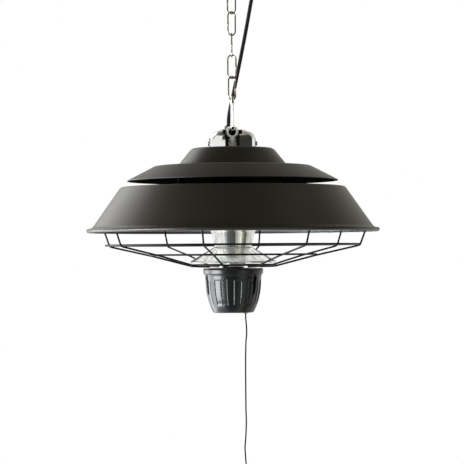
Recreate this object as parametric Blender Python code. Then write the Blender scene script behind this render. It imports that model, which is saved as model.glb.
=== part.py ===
"""Hanging patio heater: a halogen ring lamp under a spun steel shade, hung on a link chain.

The origin is the ceiling face that the fitting is screwed to. +Z is up and the camera side is -Y.
All sizes are in metres. Heights in the heater are drops below the seat on top of its crown.
"""
import bmesh
import bpy
import math
from mathutils import Matrix, Vector

for old in list(bpy.data.objects):
    bpy.data.objects.remove(old, do_unlink=True)

# Clearances and overruns
GAP = 0.0003            # between faces that touch
FLAT_GAP = 0.0004       # between the ends of two stretches of cable
OVERRUN = 0.003         # how far a cutter runs past what it cuts

# Ceiling fitting
PLATE_RADIUS = 0.046
PLATE_THICKNESS = 0.003
PLATE_SCREW_RADIUS = 0.0025
PLATE_SCREW_PLACE = 0.032
BOSS_RADIUS = 0.006
ROSE_RADIUS = 0.055
ROSE_DEPTH = 0.022
ROSE_WALL = 0.0016
ROSE_FILLET = 0.005
ROSE_BUSH_WALL = 0.0012
ROSE_BUSH_FLANGE = 0.002
HOOK_WIRE = 0.005
HOOK_INNER_RADIUS = 0.009
HOOK_DROP = 0.0274      # rose underside to the top of the hook's bowl
HOOK_THREAD = 0.012     # how far the shank goes up into the boss
HOOK_TURN_DEG = 290.0   # how far the bowl turns from the shank
HOOK_ROOT_DEG = 35.0    # where the shank runs into the bowl
HOOK_STEPS = 14
HOOK_PLANE_DEG = 70.0

# Chain
LINK_COUNT = 5
LINK_WIRE = 0.0026
LINK_WIDTH = 0.017
LINK_PITCH = 0.0369
LINK_BOW_STEPS = 6
LINK_PLANES_DEG = (-20.0, 30.0, 90.0, 165.0, 215.0)

# Snap hook and its gate
SNAP_WIRE = 0.005
SNAP_PITCH = 0.0504
SNAP_TOP_RADIUS = 0.0105
SNAP_BOTTOM_RADIUS = 0.008
SNAP_PLANE_DEG = 94.0
SNAP_TOP_STEPS = 9
SNAP_BOTTOM_STEPS = 8
GATE_PIVOT_RISE = 0.0065    # along the gate side, from the lower bow
GATE_LENGTH = 0.0265
GATE_TAIL = 0.0022          # gate below its pin
GATE_TONGUE = 0.0022
GATE_PIN_RADIUS = 0.0009
GATE_PIN_CLEARANCE = 0.0003
GATE_NOSE_GAP = 0.0005

# Supply cable
CABLE_DIAMETER = 0.0065
CABLE_STRETCHES = 7
CABLE_POINTS = 4            # points on each stretch
CABLE_BORE_CLEARANCE = 0.0006
CABLE_ROUTE = (
    (0.0410, 0.0120, -0.0160), (0.0410, 0.0120, -0.0270), (0.0386, 0.0130, -0.0430),
    (0.0339, 0.0146, -0.0650), (0.0289, 0.0160, -0.0920), (0.0236, 0.0172, -0.1200),
    (0.0182, 0.0182, -0.1470), (0.0126, 0.0191, -0.1745), (0.0068, 0.0201, -0.2020),
    (0.0009, 0.0214, -0.2300), (-0.0029, 0.0227, -0.2460), (-0.0052, 0.0237, -0.2580),
    (-0.0064, 0.0244, -0.2690), (-0.0065, 0.0245, -0.2790), (-0.0065, 0.0245, -0.2962),
)

# Eye nut, stud and their hardware
EYE_WIRE = 0.005
EYE_HOLE = 0.012
EYE_BASE_RADIUS = 0.0065
EYE_BASE_HEIGHT = 0.009
EYE_NECK_RADIUS = 0.003
EYE_NECK_HEIGHT = 0.004
EYE_ROOT_SHARE = 1 / 4      # how far the neck runs up into the ring's wire
EYE_THREAD = 0.005
EYE_STEPS = 16
STUD_RADIUS = 0.004
STUD_REACH = 0.030          # below the crown's seat
NUT_HEIGHT = 0.0065
NUT_RADIUS = 0.0075         # across the corners, halved
WASHER_RADIUS = 0.0092
WASHER_THICKNESS = 0.0028
THREAD_CLEARANCE = 0.0003

# Chrome cover, terminal box and gland
DOME_RADIUS = 0.0398
DOME_WALL_HEIGHT = 0.019
DOME_HEIGHT = 0.0327
DOME_SHOULDER_RADIUS = 0.0352
DOME_SHOULDER_HEIGHT = 0.0259
DOME_FLAT_RADIUS = 0.017
DOME_WALL = 0.0012
DOME_MOUTH_RADIUS = 0.0156
NOTCH_WIDTH = 0.024
NOTCH_TOP_WIDTH = 0.0325
NOTCH_STEP_HEIGHT = 0.022
COVER_SCREW_HEIGHT = 0.008
COVER_SCREW_HEAD = 0.0038
COVER_SCREW_CROWN = 0.0008
COVER_SCREW_HEAD_LENGTH = 0.003
COVER_SCREW_SHANK = 0.0018
COVER_SCREW_LENGTH = 0.006
BOX_WIDTH = 0.040
BOX_DEPTH = 0.019
BOX_HEIGHT = 0.021
BOX_FRONT = 0.0115
BOX_EDGE = 0.0015
GLAND_RADIUS = 0.0055
GLAND_NUT_RADIUS = 0.008
GLAND_NUT_HEIGHT = 0.006
GLAND_RIM = 0.002           # gland above its nut

# Crown
CROWN_TOP_RADIUS = 0.0695
CROWN_BOTTOM_RADIUS = 0.091
CROWN_FOOT_RADIUS = 0.094
CROWN_CONE_HEIGHT = 0.0264
CROWN_HEIGHT = 0.0302
CROWN_FILLET = 0.005
SHEET = 0.0012              # crown, brim and reflector sheet

# Brim hood
BRIM_FLAT_RADIUS = 0.133
BRIM_RADIUS = 0.1804
BRIM_FALL = 0.0246

# Main shade
VENT_GAP = 0.0347           # brim underside to the shade's top
VENT_RADIUS = 0.112
SHOULDER_RADIUS = 0.1931
SHOULDER_FILLET = 0.0035
SHOULDER_DROP = 0.002
SHADE_RADIUS = 0.250
RIM_REACH = 0.0103          # how far the rolled rim stands out past the cone's foot
CONE_RADIUS = SHADE_RADIUS - RIM_REACH
CONE_HEIGHT = 0.0666
ROLL_RADIUS = 0.0035
ROLL_DROP = 0.0052          # cone's foot to the roll's centre
SHADE_WALL = 0.0013
ROLL_ARC_DEG = (125.0, -100.0)
ROLL_STEPS = 4
SPACER_RADIUS = 0.006
SPACER_PLACE = 0.124
SPACER_COUNT = 4

# Centre tube
TUBE_RADIUS = 0.010
TUBE_BORE = 0.0075
TUBE_TAIL = 0.0086          # below the pot cover's plate
TUBE_NUT_RADIUS = 0.0139
TUBE_NUT_HEIGHT = 0.006

# Reflectors
COLUMN_RADIUS = 0.040
COLUMN_STRAIGHT = 0.1060    # straight wall of the column
WAIST_RADIUS = 0.031
WAIST_DROP = 0.1360         # column's top to its waist
COLUMN_WALL = 0.0012
COLUMN_STEP = 0.003         # the short taper under the straight wall
WAIST_FLARE = 0.002
LOWER_RADIUS = 0.0734
LOWER_FALL = 0.0245
LOWER_LIP = 0.003
DISH_RADIUS = 0.176
DISH_TOP_DROP = 0.0480      # brim underside to the dish's collar top
DISH_COLLAR = 0.010
DISH_FALL = 0.018
DISH_BEND_SHARE = 2 / 3     # where the dish starts to fall, as a share of its radius

# Lamp
LAMP_RING_RADIUS = 0.088
LAMP_TUBE_RADIUS = 0.006
LAMP_BORE = 0.0045
LAMP_DROP = 0.0350          # dish collar top to the lamp's centre
LAMP_GAP_DEG = 15.0         # from the middle of the lamp's gap to each end
LAMP_STATIONS = 33
FILAMENT_RADIUS = 0.0012
CAP_RADIAL = 0.018
CAP_LENGTH = 0.014
CAP_HEIGHT = 0.018
CAP_SOCKET = 0.004
CAP_STEM = 0.006
CLIP_WIDTH = 0.006
CLIP_WALL = 0.0010
CLIP_ANGLES_DEG = (-60.0, 0.0, 60.0)
CLIP_MOUTH_DEG = 70.0
CLIP_STEPS = 4

# Wire guard
GUARD_WIRE = 0.0032
GUARD_RIBS = 8
GUARD_TURN_DEG = -12.4      # first rib, from the camera side towards +X
RING_INSET = 0.0225         # cone's foot in to the first ring
RING_RADII = (CONE_RADIUS - RING_INSET, 0.1418, 0.0726)
RING_DROPS = (0.0302, 0.0468, 0.0644)       # cone's foot down to each ring
WELD_OFFSET = 0.0022        # ring's centre to the rib's centre
GUARD_BEND_RISE = 0.0045    # rib's top bend, above the cone's foot
GUARD_TOP_RISE = 0.016      # rib's end, above the cone's foot
GUARD_BEND_STEPS = 3
GUARD_INNER_RADIUS = 0.047
RING_STATIONS = (40, 28, 20)
GUARD_CLIP_LENGTH = 0.008
GUARD_CLIP_FOOT = 0.0055
GUARD_CLIP_WALL = 0.0012

# Pot
POT_COVER_RADIUS = 0.0516
POT_COVER_HEIGHT = 0.0104
POT_COVER_PLATE = 0.0032
POT_COVER_EDGE = 0.002
POT_NECK_RADIUS = 0.018
POT_NECK_HEIGHT = 0.0346
SPIGOT_RADIUS = 0.0463
SPIGOT_WALL = 0.002
SPIGOT_DEPTH = 0.0037
SPIGOT_CLEARANCE = 0.0005
POT_RADIUS = 0.0492
POT_HEIGHT = 0.0656
POT_PROFILE_SHARES = (     # of the pot's radius, at a share of its height
    (1.0, 0.0), (1.0, 0.020), (0.980, 0.037), (0.970, 0.17), (0.945, 0.415), (0.882, 0.65),
    (0.815, 0.80), (0.778, 0.878), (0.715, 0.977), (0.680, 1.0),
)
POT_RING_SHARES = (        # of the pot's height, and whether the flutes run there
    (0.0, False), (0.020, False), (0.037, False), (0.145, False), (0.175, True), (0.415, True),
    (0.65, True), (0.775, True), (0.805, False), (0.878, False), (0.977, False), (1.0, False),
)
CAVITY_DEPTH_SHARES = (0.0625, 0.415, 0.65, 0.80)
RIB_SHARE = 0.25           # how far a rib's edges are spread towards the flutes
POT_WALL = 0.0024
FLUTE_COUNT = 24
FLUTE_POINTS = 3            # the flute's bottom and its rib's two edges
FLUTE_DEPTH = 0.0013
SCREW_CHANNELS = 3
CHANNEL_TURN_DEG = 51.0
CHANNEL_RADIUS = 0.004
CHANNEL_PLACE = 0.0482
CHANNEL_TOP = 0.0050        # below the pot's rim
CHANNEL_BOTTOM = 0.047
CHANNEL_WALL = 0.0018

# Switch and pull cord
CORD_PLACE = 0.0205
CORD_DIAMETER = 0.0024
DRUM_GROOVE_RADIUS = 0.007
DRUM_FLANGE_RADIUS = 0.0092
DRUM_GROOVE_WIDTH = 0.0034
DRUM_FLANGE = 0.001
DRUM_AXLE_RADIUS = 0.0018
DRUM_AXLE_LENGTH = 0.004
DRUM_DROP = 0.0269          # pot's rim to the drum's axle
CASE_WIDTH = 0.047
CASE_DEPTH = 0.026
CASE_HEIGHT = 0.034
CASE_LEFT = 0.023
CASE_DROP = 0.012           # pot cover's plate to the case
CASE_POST_RADIUS = 0.0035
CASE_POST_PLACE = 0.0185
CASE_EDGE = 0.0015
SLOT_CLEARANCE = 0.0006
BUSH_BORE_CLEARANCE = 0.0004
BUSH_RADIUS = 0.003
BUSH_FLANGE_RADIUS = 0.005
BUSH_FLANGE = 0.0015
BUSH_NECK = 0.004
CORD_SPACING = 0.0065
CORD_TAIL = (                # from the pot's underside, straight above it
    (0.0205, 0.0000, -0.0010), (0.0208, 0.0000, -0.0110), (0.0218, 0.0002, -0.0230),
    (0.0221, 0.0004, -0.0365), (0.0208, 0.0004, -0.0510), (0.0200, 0.0002, -0.0810),
    (0.0199, 0.0000, -0.1210), (0.0200, -0.0002, -0.1630), (0.0205, 0.0000, -0.1880),
    (0.0193, 0.0002, -0.2140), (0.0180, 0.0003, -0.2300), (0.0188, 0.0002, -0.2470),
    (0.0199, 0.0000, -0.2610), (0.0202, 0.0000, -0.2710), (0.0202, 0.0000, -0.2790),
)
KNOB_LENGTH = 0.030
KNOB_RADIUS = 0.0085
KNOB_NECK_RADIUS = 0.0032
KNOB_BORE_DEPTH = 0.006

# Levels, worked out downwards from the ceiling
HOOK_CONTACT = -(ROSE_DEPTH + HOOK_DROP)
CHAIN_END = HOOK_CONTACT - LINK_COUNT * LINK_PITCH
EYE_CONTACT = CHAIN_END - SNAP_PITCH
EYE_CENTRE = EYE_CONTACT - EYE_HOLE / 2
EYE_BASE_TOP = EYE_CENTRE - EYE_HOLE / 2 - EYE_WIRE / 2
EYE_BASE_BOTTOM = EYE_BASE_TOP - EYE_BASE_HEIGHT
SEAT = EYE_BASE_BOTTOM - GAP - NUT_HEIGHT - GAP - WASHER_THICKNESS - GAP     # top of the crown
BRIM_TOP = SEAT - CROWN_HEIGHT - GAP
BRIM_UNDERSIDE = BRIM_TOP - SHEET
SHADE_TOP = BRIM_UNDERSIDE - VENT_GAP
CONE_TOP = SHADE_TOP - SHOULDER_DROP
CONE_FOOT = CONE_TOP - CONE_HEIGHT
ROLL_CENTRE = CONE_FOOT - ROLL_DROP
COLUMN_TOP = BRIM_UNDERSIDE - GAP
COLUMN_BOTTOM = COLUMN_TOP - WAIST_DROP
LOWER_TOP = COLUMN_BOTTOM - GAP
DISH_TOP = BRIM_UNDERSIDE - DISH_TOP_DROP
LAMP_LEVEL = DISH_TOP - LAMP_DROP
POT_NECK_TOP = LOWER_TOP - SHEET - GAP
POT_TOP = POT_NECK_TOP - POT_NECK_HEIGHT
POT_PLATE_UNDERSIDE = POT_TOP - POT_COVER_PLATE
POT_COVER_FOOT = POT_TOP - POT_COVER_HEIGHT
POT_RIM = POT_COVER_FOOT - GAP
POT_FOOT = POT_RIM - POT_HEIGHT
DRUM_LEVEL = POT_RIM - DRUM_DROP
DRUM_PLACE = CORD_PLACE - DRUM_GROOVE_RADIUS - CORD_DIAMETER / 2 - GAP

# Spins are cut into this many sides, more on the large thin sheets
SMALL_SIDES = 12
ROUND_SIDES = 20
BODY_SIDES = 32
SHEET_SIDES = 48
SMOOTH_DEG = 38.0
MERGE = 0.00001
ORIGIN = Vector((0.0, 0.0, 0.0))
AXIS_X = Vector((1.0, 0.0, 0.0))
AXIS_Y = Vector((0.0, 1.0, 0.0))
AXIS_Z = Vector((0.0, 0.0, 1.0))


def finish(name, colour, roughness, metallic):
    """A Principled material in one colour."""
    material = bpy.data.materials.new(name)
    material.use_nodes = True
    shader = material.node_tree.nodes["Principled BSDF"]
    shader.inputs["Base Color"].default_value = (*colour, 1.0)
    shader.inputs["Roughness"].default_value = roughness
    shader.inputs["Metallic"].default_value = metallic
    material.diffuse_color = (*colour, 1.0)
    return material


DARK_PAINT = finish("dark_paint", (0.017, 0.015, 0.010), 0.38, 0.2)
CHROME = finish("chrome", (0.80, 0.80, 0.79), 0.08, 1.0)
ZINC = finish("zinc", (0.56, 0.55, 0.52), 0.28, 1.0)
STEEL = finish("steel", (0.42, 0.42, 0.41), 0.35, 1.0)
BRUSHED_ALUMINIUM = finish("brushed_aluminium", (0.80, 0.80, 0.79), 0.22, 1.0)
POLISHED_ALUMINIUM = finish("polished_aluminium", (0.90, 0.90, 0.89), 0.10, 1.0)
BLACK_WIRE = finish("black_wire", (0.010, 0.010, 0.010), 0.35, 0.0)
BLACK_PLASTIC = finish("black_plastic", (0.020, 0.020, 0.021), 0.42, 0.0)
GREY_PLASTIC = finish("grey_plastic", (0.16, 0.16, 0.17), 0.5, 0.0)
CABLE_SHEATH = finish("cable_sheath", (0.010, 0.010, 0.010), 0.55, 0.0)
QUARTZ = finish("quartz", (0.85, 0.80, 0.72), 0.05, 0.0)
TUNGSTEN = finish("tungsten", (0.25, 0.24, 0.23), 0.4, 1.0)
CERAMIC = finish("ceramic", (0.78, 0.75, 0.68), 0.6, 0.0)
CORD_YARN = finish("cord_yarn", (0.045, 0.043, 0.040), 0.8, 0.0)


def empty(name, place):
    """An empty on a joint's axis, which carries the pieces that swing there."""
    holder = bpy.data.objects.new(name, None)
    holder.location = place
    bpy.context.scene.collection.objects.link(holder)
    return holder


def put(name, mesh, material, parent=None, pivot=ORIGIN):
    """Adds a mesh made in its true place as an object, with its origin on a pivot or on its parent."""
    home = Vector(parent.location) if parent else Vector(pivot)
    centre = Vector(pivot) if parent and Vector(pivot) != ORIGIN else home
    mesh.transform(Matrix.Translation(-centre))
    mesh.materials.clear()
    mesh.materials.append(material)
    mesh.shade_smooth()
    mesh.set_sharp_from_angle(angle=math.radians(SMOOTH_DEG))
    piece = bpy.data.objects.new(name, mesh)
    bpy.context.scene.collection.objects.link(piece)
    piece.parent = parent
    piece.location = centre - home if parent else centre
    return piece


def mesh_from(bm):
    """Closes a bmesh into a mesh with its faces out."""
    bmesh.ops.remove_doubles(bm, verts=bm.verts, dist=MERGE)
    bmesh.ops.recalc_face_normals(bm, faces=bm.faces)
    mesh = bpy.data.meshes.new("solid")
    bm.to_mesh(mesh)
    bm.free()
    return mesh


def turned(outline, sides, closed=True):
    """Spins an outline of (radius, height) round Z. An open one starts and ends on the axis."""
    bm = bmesh.new()
    verts = [bm.verts.new((radius, 0.0, height)) for radius, height in outline]
    edges = [bm.edges.new(pair) for pair in zip(verts, verts[1:])]
    if closed:
        edges.append(bm.edges.new((verts[-1], verts[0])))
    bmesh.ops.spin(bm, geom=verts + edges, axis=AXIS_Z, cent=ORIGIN, angle=math.tau,
                   steps=sides, use_merge=True)
    return mesh_from(bm)


def moved(mesh, place=ORIGIN, turn=0.0, about=AXIS_Z):
    """Turns a mesh about an axis through the origin, then moves it."""
    mesh.transform(Matrix.Translation(place) @ Matrix.Rotation(turn, 4, about))
    return mesh


def bend(start, corner, end, steps=2):
    """A rounded corner between two points of an outline, ends included."""
    points = []
    for step in range(steps + 1):
        t = step / steps
        points.append(tuple((1 - t) ** 2 * a + 2 * t * (1 - t) * b + t ** 2 * c
                            for a, b, c in zip(start, corner, end)))
    return points


def arc(centre, radius, start_deg, end_deg, steps):
    """Points on a circle in an outline's plane, ends included."""
    points = []
    for step in range(steps + 1):
        angle = math.radians(start_deg + (end_deg - start_deg) * step / steps)
        points.append((centre[0] + radius * math.cos(angle), centre[1] + radius * math.sin(angle)))
    return points


def sheet_outline(line, wall):
    """The closed outline of a sheet whose one face is the line, with its wall on the line's right."""
    normals = []
    for (r0, z0), (r1, z1) in zip(line, line[1:]):
        length = math.hypot(r1 - r0, z1 - z0)
        normals.append(((z1 - z0) / length, (r0 - r1) / length))
    before = [normals[0]] + normals
    after = normals + [normals[-1]]
    back = []
    for (r, z), a, b in zip(line, before, after):
        mitre = wall / (1 + a[0] * b[0] + a[1] * b[1])
        back.append((r + (a[0] + b[0]) * mitre, z + (a[1] + b[1]) * mitre))
    return list(line) + back[::-1]


def sagitta(radius, sides):
    """How far the flats of a many-sided circle lie inside it."""
    return radius * (1 - math.cos(math.pi / sides))


def rod(radius, start, end, sides=SMALL_SIDES):
    """A plain round bar between two points."""
    start, end = Vector(start), Vector(end)
    turn = AXIS_Z.rotation_difference(end - start).to_matrix().to_4x4()
    bm = bmesh.new()
    bmesh.ops.create_cone(bm, cap_ends=True, segments=sides, radius1=radius, radius2=radius,
                          depth=(end - start).length, matrix=Matrix.Translation((start + end) / 2) @ turn)
    return mesh_from(bm)


def block(low, high, edge=0.0):
    """A box between two corners, with its edges rounded off."""
    low, high = Vector(low), Vector(high)
    bm = bmesh.new()
    size = Matrix.Diagonal((*(high - low), 1.0))
    bmesh.ops.create_cube(bm, size=1.0, matrix=Matrix.Translation((low + high) / 2) @ size)
    if edge:
        bmesh.ops.bevel(bm, geom=bm.edges, offset=edge, segments=1, affect="EDGES")
    return mesh_from(bm)


def prism(outline, place, across, up, length):
    """Extrudes an outline drawn along two directions, half its length to each side."""
    across, up = Vector(across), Vector(up)
    along = across.cross(up).normalized() * length
    bm = bmesh.new()
    verts = [bm.verts.new(Vector(place) + across * a + up * b - along / 2) for a, b in outline]
    face = bm.faces.new(verts)
    ends = bmesh.ops.extrude_face_region(bm, geom=[face])["geom"]
    bmesh.ops.translate(bm, vec=along, verts=[v for v in ends if isinstance(v, bmesh.types.BMVert)])
    return mesh_from(bm)


def tube_curve(name, points, diameter, resolution, cyclic=False):
    """A round wire along a line of points."""
    curve = bpy.data.curves.new(name, "CURVE")
    curve.dimensions = "3D"
    curve.bevel_depth = diameter / 2
    curve.bevel_resolution = resolution
    curve.use_fill_caps = True
    spline = curve.splines.new("POLY")
    spline.points.add(len(points) - 1)
    for knot, point in zip(spline.points, points):
        knot.co = (*point, 1.0)
    spline.use_cyclic_u = cyclic
    spline.use_smooth = True
    return curve


def put_wire(name, points, diameter, resolution, material, parent=None, pivot=ORIGIN, cyclic=False):
    """Adds a wire made in its true place as a curve object, with its origin on a pivot or its parent."""
    home = Vector(parent.location) if parent else Vector(pivot)
    shifted = [Vector(point) - home for point in points]
    curve = tube_curve(name, shifted, diameter, resolution, cyclic)
    curve.materials.append(material)
    wire = bpy.data.objects.new(name, curve)
    bpy.context.scene.collection.objects.link(wire)
    wire.parent = parent
    if not parent:
        wire.location = home
    return wire


def wire_mesh(points, diameter, resolution, cyclic=False):
    """The mesh of a wire, for joining or cutting."""
    curve = tube_curve("wire", points, diameter, resolution, cyclic)
    holder = bpy.data.objects.new("wire", curve)
    bpy.context.scene.collection.objects.link(holder)
    graph = bpy.context.evaluated_depsgraph_get()
    mesh = bpy.data.meshes.new_from_object(holder.evaluated_get(graph))
    bpy.data.objects.remove(holder, do_unlink=True)
    bm = bmesh.new()
    bm.from_mesh(mesh)
    return mesh_from(bm)


def combined(base, tools, operation):
    """Joins solids to a solid, or cuts them from it."""
    body = bpy.data.objects.new("body", base)
    bpy.context.scene.collection.objects.link(body)
    helpers = []
    for tool in tools:
        helper = bpy.data.objects.new("tool", tool)
        bpy.context.scene.collection.objects.link(helper)
        helpers.append(helper)
        step = body.modifiers.new("step", "BOOLEAN")
        step.operation = operation
        step.solver = "EXACT"
        step.object = helper
    graph = bpy.context.evaluated_depsgraph_get()
    mesh = bpy.data.meshes.new_from_object(body.evaluated_get(graph))
    for used in [body] + helpers:
        bpy.data.objects.remove(used, do_unlink=True)
    return mesh


def joined(base, *tools):
    return combined(base, tools, "UNION")


def cut(base, *tools):
    return combined(base, tools, "DIFFERENCE")


def nut(corner_radius, hole_radius, bottom, height, place=ORIGIN):
    """A hexagon nut on a vertical axis."""
    low = Vector((place[0], place[1], bottom))
    high = low + AXIS_Z * height
    hexagon = rod(corner_radius, low, high, 6)
    hole = rod(hole_radius, low - AXIS_Z * OVERRUN, high + AXIS_Z * OVERRUN, ROUND_SIDES)
    return cut(hexagon, hole)


def compass(angle_deg):
    """A level direction, from the camera side (-Y) towards +X."""
    angle = math.radians(angle_deg)
    return Vector((math.sin(angle), -math.cos(angle), 0.0))


def smooth_route(points, steps=10):
    """A dense line on a smooth curve through a route's points."""
    points = [Vector(point) for point in points]
    ends = [points[0] * 2 - points[1]] + points + [points[-1] * 2 - points[-2]]
    line = []
    for p0, p1, p2, p3 in zip(ends, ends[1:], ends[2:], ends[3:]):
        for step in range(steps):
            t = step / steps
            line.append((p1 * 2 + (p2 - p0) * t + (p0 * 2 - p1 * 5 + p2 * 4 - p3) * t ** 2
                         + (p1 * 3 - p0 - p2 * 3 + p3) * t ** 3) / 2)
    return line + [points[-1]]


def even_points(line, start, end, count):
    """Evenly spaced points on a line, between two distances along it."""
    travelled = [0.0]
    for a, b in zip(line, line[1:]):
        travelled.append(travelled[-1] + (b - a).length)
    result = []
    for index in range(count):
        distance = start + (end - start) * index / (count - 1)
        step = next(i for i in range(1, len(line)) if travelled[i] >= distance or i == len(line) - 1)
        share = (distance - travelled[step - 1]) / (travelled[step] - travelled[step - 1])
        result.append(line[step - 1].lerp(line[step], share))
    return result


def line_length(line):
    return sum((b - a).length for a, b in zip(line, line[1:]))


# Joint centres, each in the middle of the wire that the next piece hangs on
LINK_PIVOTS = [HOOK_CONTACT - HOOK_WIRE / 2]
LINK_PIVOTS += [HOOK_CONTACT - index * LINK_PITCH - LINK_WIRE / 2 for index in range(1, LINK_COUNT)]
SNAP_PIVOT = CHAIN_END - LINK_WIRE / 2
HEATER_PIVOT = EYE_CONTACT - SNAP_WIRE / 2
HEATER = empty("heater_swing", (0.0, 0.0, HEATER_PIVOT))
PULL = empty("pull_travel", (CORD_PLACE, 0.0, POT_FOOT))
CABLE_BORE = CABLE_DIAMETER / 2 + CABLE_BORE_CLEARANCE
CABLE_LINE = smooth_route(CABLE_ROUTE)


def make_ceiling_plate():
    """The plate that is screwed to the ceiling, with the boss that the hook screws into."""
    bore = HOOK_WIRE / 2 + THREAD_CLEARANCE
    bore_top = HOOK_THREAD + GAP - ROSE_DEPTH
    plate = turned([(0.0, 0.0), (PLATE_RADIUS, 0.0), (PLATE_RADIUS, -PLATE_THICKNESS),
                    (BOSS_RADIUS, -PLATE_THICKNESS), (BOSS_RADIUS, -ROSE_DEPTH), (bore, -ROSE_DEPTH),
                    (bore, bore_top), (0.0, bore_top)], ROUND_SIDES, closed=False)
    holes = []
    for side in (-1, 1):
        place = AXIS_Y * side * PLATE_SCREW_PLACE
        holes.append(rod(PLATE_SCREW_RADIUS, place + AXIS_Z * OVERRUN,
                         place - AXIS_Z * (PLATE_THICKNESS + OVERRUN)))
    put("ceiling_plate", cut(plate, *holes), STEEL)


def make_ceiling_rose():
    """The round cup that covers the plate, with the hole for the supply cable."""
    corner = (ROSE_RADIUS, -ROSE_DEPTH)
    line = [(ROSE_RADIUS, 0.0)]
    line += bend((ROSE_RADIUS, ROSE_FILLET - ROSE_DEPTH), corner, (ROSE_RADIUS - ROSE_FILLET, -ROSE_DEPTH))
    line.append((BOSS_RADIUS + GAP, -ROSE_DEPTH))
    cup = turned(sheet_outline(line, ROSE_WALL), BODY_SIDES)
    place = Vector((CABLE_ROUTE[0][0], CABLE_ROUTE[0][1], -ROSE_DEPTH))
    hole = rod(CABLE_BORE + ROSE_BUSH_WALL + GAP, place - AXIS_Z * OVERRUN, place + AXIS_Z * OVERRUN)
    put("ceiling_rose", cut(cup, hole), DARK_PAINT)


def make_rose_bush():
    """The bush that guards the cable where it goes up into the rose."""
    neck = CABLE_BORE + ROSE_BUSH_WALL
    flange = neck + ROSE_BUSH_FLANGE
    face = -GAP
    bush = turned([(CABLE_BORE, -ROSE_BUSH_FLANGE), (neck, -ROSE_BUSH_FLANGE), (flange, face), (neck, face),
                   (neck, ROSE_WALL + ROSE_BUSH_WALL), (CABLE_BORE, ROSE_WALL + ROSE_BUSH_WALL)], SMALL_SIDES)
    put("rose_cable_bush", moved(bush, (CABLE_ROUTE[0][0], CABLE_ROUTE[0][1], -ROSE_DEPTH)), BLACK_PLASTIC)


def make_ceiling_hook():
    """The open screw hook that carries the chain."""
    radius = HOOK_INNER_RADIUS + HOOK_WIRE / 2
    centre = (0.0, HOOK_CONTACT + HOOK_INNER_RADIUS)
    bowl = arc(centre, radius, 90 - HOOK_ROOT_DEG, 90 - HOOK_TURN_DEG, HOOK_STEPS)
    root_height = centre[1] + radius
    shank = [(0.0, HOOK_THREAD - ROSE_DEPTH), (0.0, -ROSE_DEPTH)]
    shank += bend((0.0, root_height + HOOK_WIRE / 2), (0.0, root_height), bowl[0], 3)
    turn = Matrix.Rotation(math.radians(HOOK_PLANE_DEG), 3, AXIS_Z)
    points = [turn @ Vector((x, 0.0, z)) for x, z in shank + bowl[1:]]
    put_wire("ceiling_hook", points, HOOK_WIRE, 2, ZINC)


def stadium(top, bottom, radius, steps):
    """A closed line of two straight legs and two round bows, from its highest and lowest points."""
    points = arc((0.0, top - radius), radius, 0, 180, steps)
    points += arc((0.0, bottom + radius), radius, 180, 360, steps)
    return points


def make_chain():
    """Five welded links, each hung on the bow of the one above."""
    for index, (pivot, plane) in enumerate(zip(LINK_PIVOTS, LINK_PLANES_DEG)):
        contact = HOOK_CONTACT - index * LINK_PITCH
        top = contact + GAP / 2 + LINK_WIRE / 2
        bottom = contact - LINK_PITCH - GAP / 2 - LINK_WIRE / 2
        turn = Matrix.Rotation(math.radians(plane), 3, AXIS_Z)
        line = stadium(top, bottom, (LINK_WIDTH - LINK_WIRE) / 2, LINK_BOW_STEPS)
        points = [turn @ Vector((x, 0.0, z)) for x, z in line]
        put_wire(f"chain_link_{index + 1}", points, LINK_WIRE, 1, ZINC,
                 pivot=(0.0, 0.0, pivot), cyclic=True)


def snap_hook_layout():
    """The centres of the snap hook's bows, its lean, and its gate's directions and pivot."""
    top = CHAIN_END + GAP / 2 + SNAP_WIRE / 2
    bottom = EYE_CONTACT - GAP / 2 - SNAP_WIRE / 2
    high = Vector((0.0, 0.0, top - SNAP_TOP_RADIUS))
    low = Vector((0.0, 0.0, bottom + SNAP_BOTTOM_RADIUS))
    lean = math.degrees(math.asin((SNAP_TOP_RADIUS - SNAP_BOTTOM_RADIUS) / (high - low).length))
    normal = Vector((math.cos(math.radians(lean)), 0.0, -math.sin(math.radians(lean))))
    along = Vector((-normal.z, 0.0, normal.x))
    pivot = low + normal * SNAP_BOTTOM_RADIUS + along * GATE_PIVOT_RISE
    return high, low, lean, normal, along, pivot


def make_snap_hook():
    """The spring hook between chain and heater, with a flat tongue and pin for its gate."""
    high, low, lean, normal, along, pivot = snap_hook_layout()
    nose = pivot + along * (GATE_LENGTH + GATE_NOSE_GAP)
    line = [nose]
    line += [Vector((x, 0.0, z)) for x, z in
             arc((high.x, high.z), SNAP_TOP_RADIUS, -lean, 180 + lean, SNAP_TOP_STEPS)]
    line += [Vector((x, 0.0, z)) for x, z in
             arc((low.x, low.z), SNAP_BOTTOM_RADIUS, 180 + lean, 360 - lean, SNAP_BOTTOM_STEPS)]
    line.append(pivot + along * SNAP_WIRE / 2)
    body = wire_mesh(line, SNAP_WIRE, 2)
    radius = SNAP_WIRE / 2
    shoulder = pivot - along * (math.hypot(radius, GATE_TAIL) + GAP)
    cheeks = []
    for side in (-1, 1):
        inner = AXIS_Y * side * GATE_TONGUE / 2
        outline = [(-SNAP_WIRE, 0.0), (SNAP_WIRE, 0.0), (SNAP_WIRE, SNAP_WIRE), (-SNAP_WIRE, SNAP_WIRE)]
        middle = (shoulder + pivot + along * (SNAP_WIRE + OVERRUN)) / 2
        length = (pivot + along * (SNAP_WIRE + OVERRUN) - shoulder).length
        cheeks.append(prism(outline, middle + inner, normal, AXIS_Y * side, length))
    pin = rod(GATE_PIN_RADIUS, pivot - AXIS_Y * radius, pivot + AXIS_Y * radius, 8)
    body = joined(cut(body, *cheeks), pin)
    moved(body, turn=math.radians(SNAP_PLANE_DEG))
    put("snap_hook", body, ZINC, pivot=(0.0, 0.0, SNAP_PIVOT))


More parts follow.
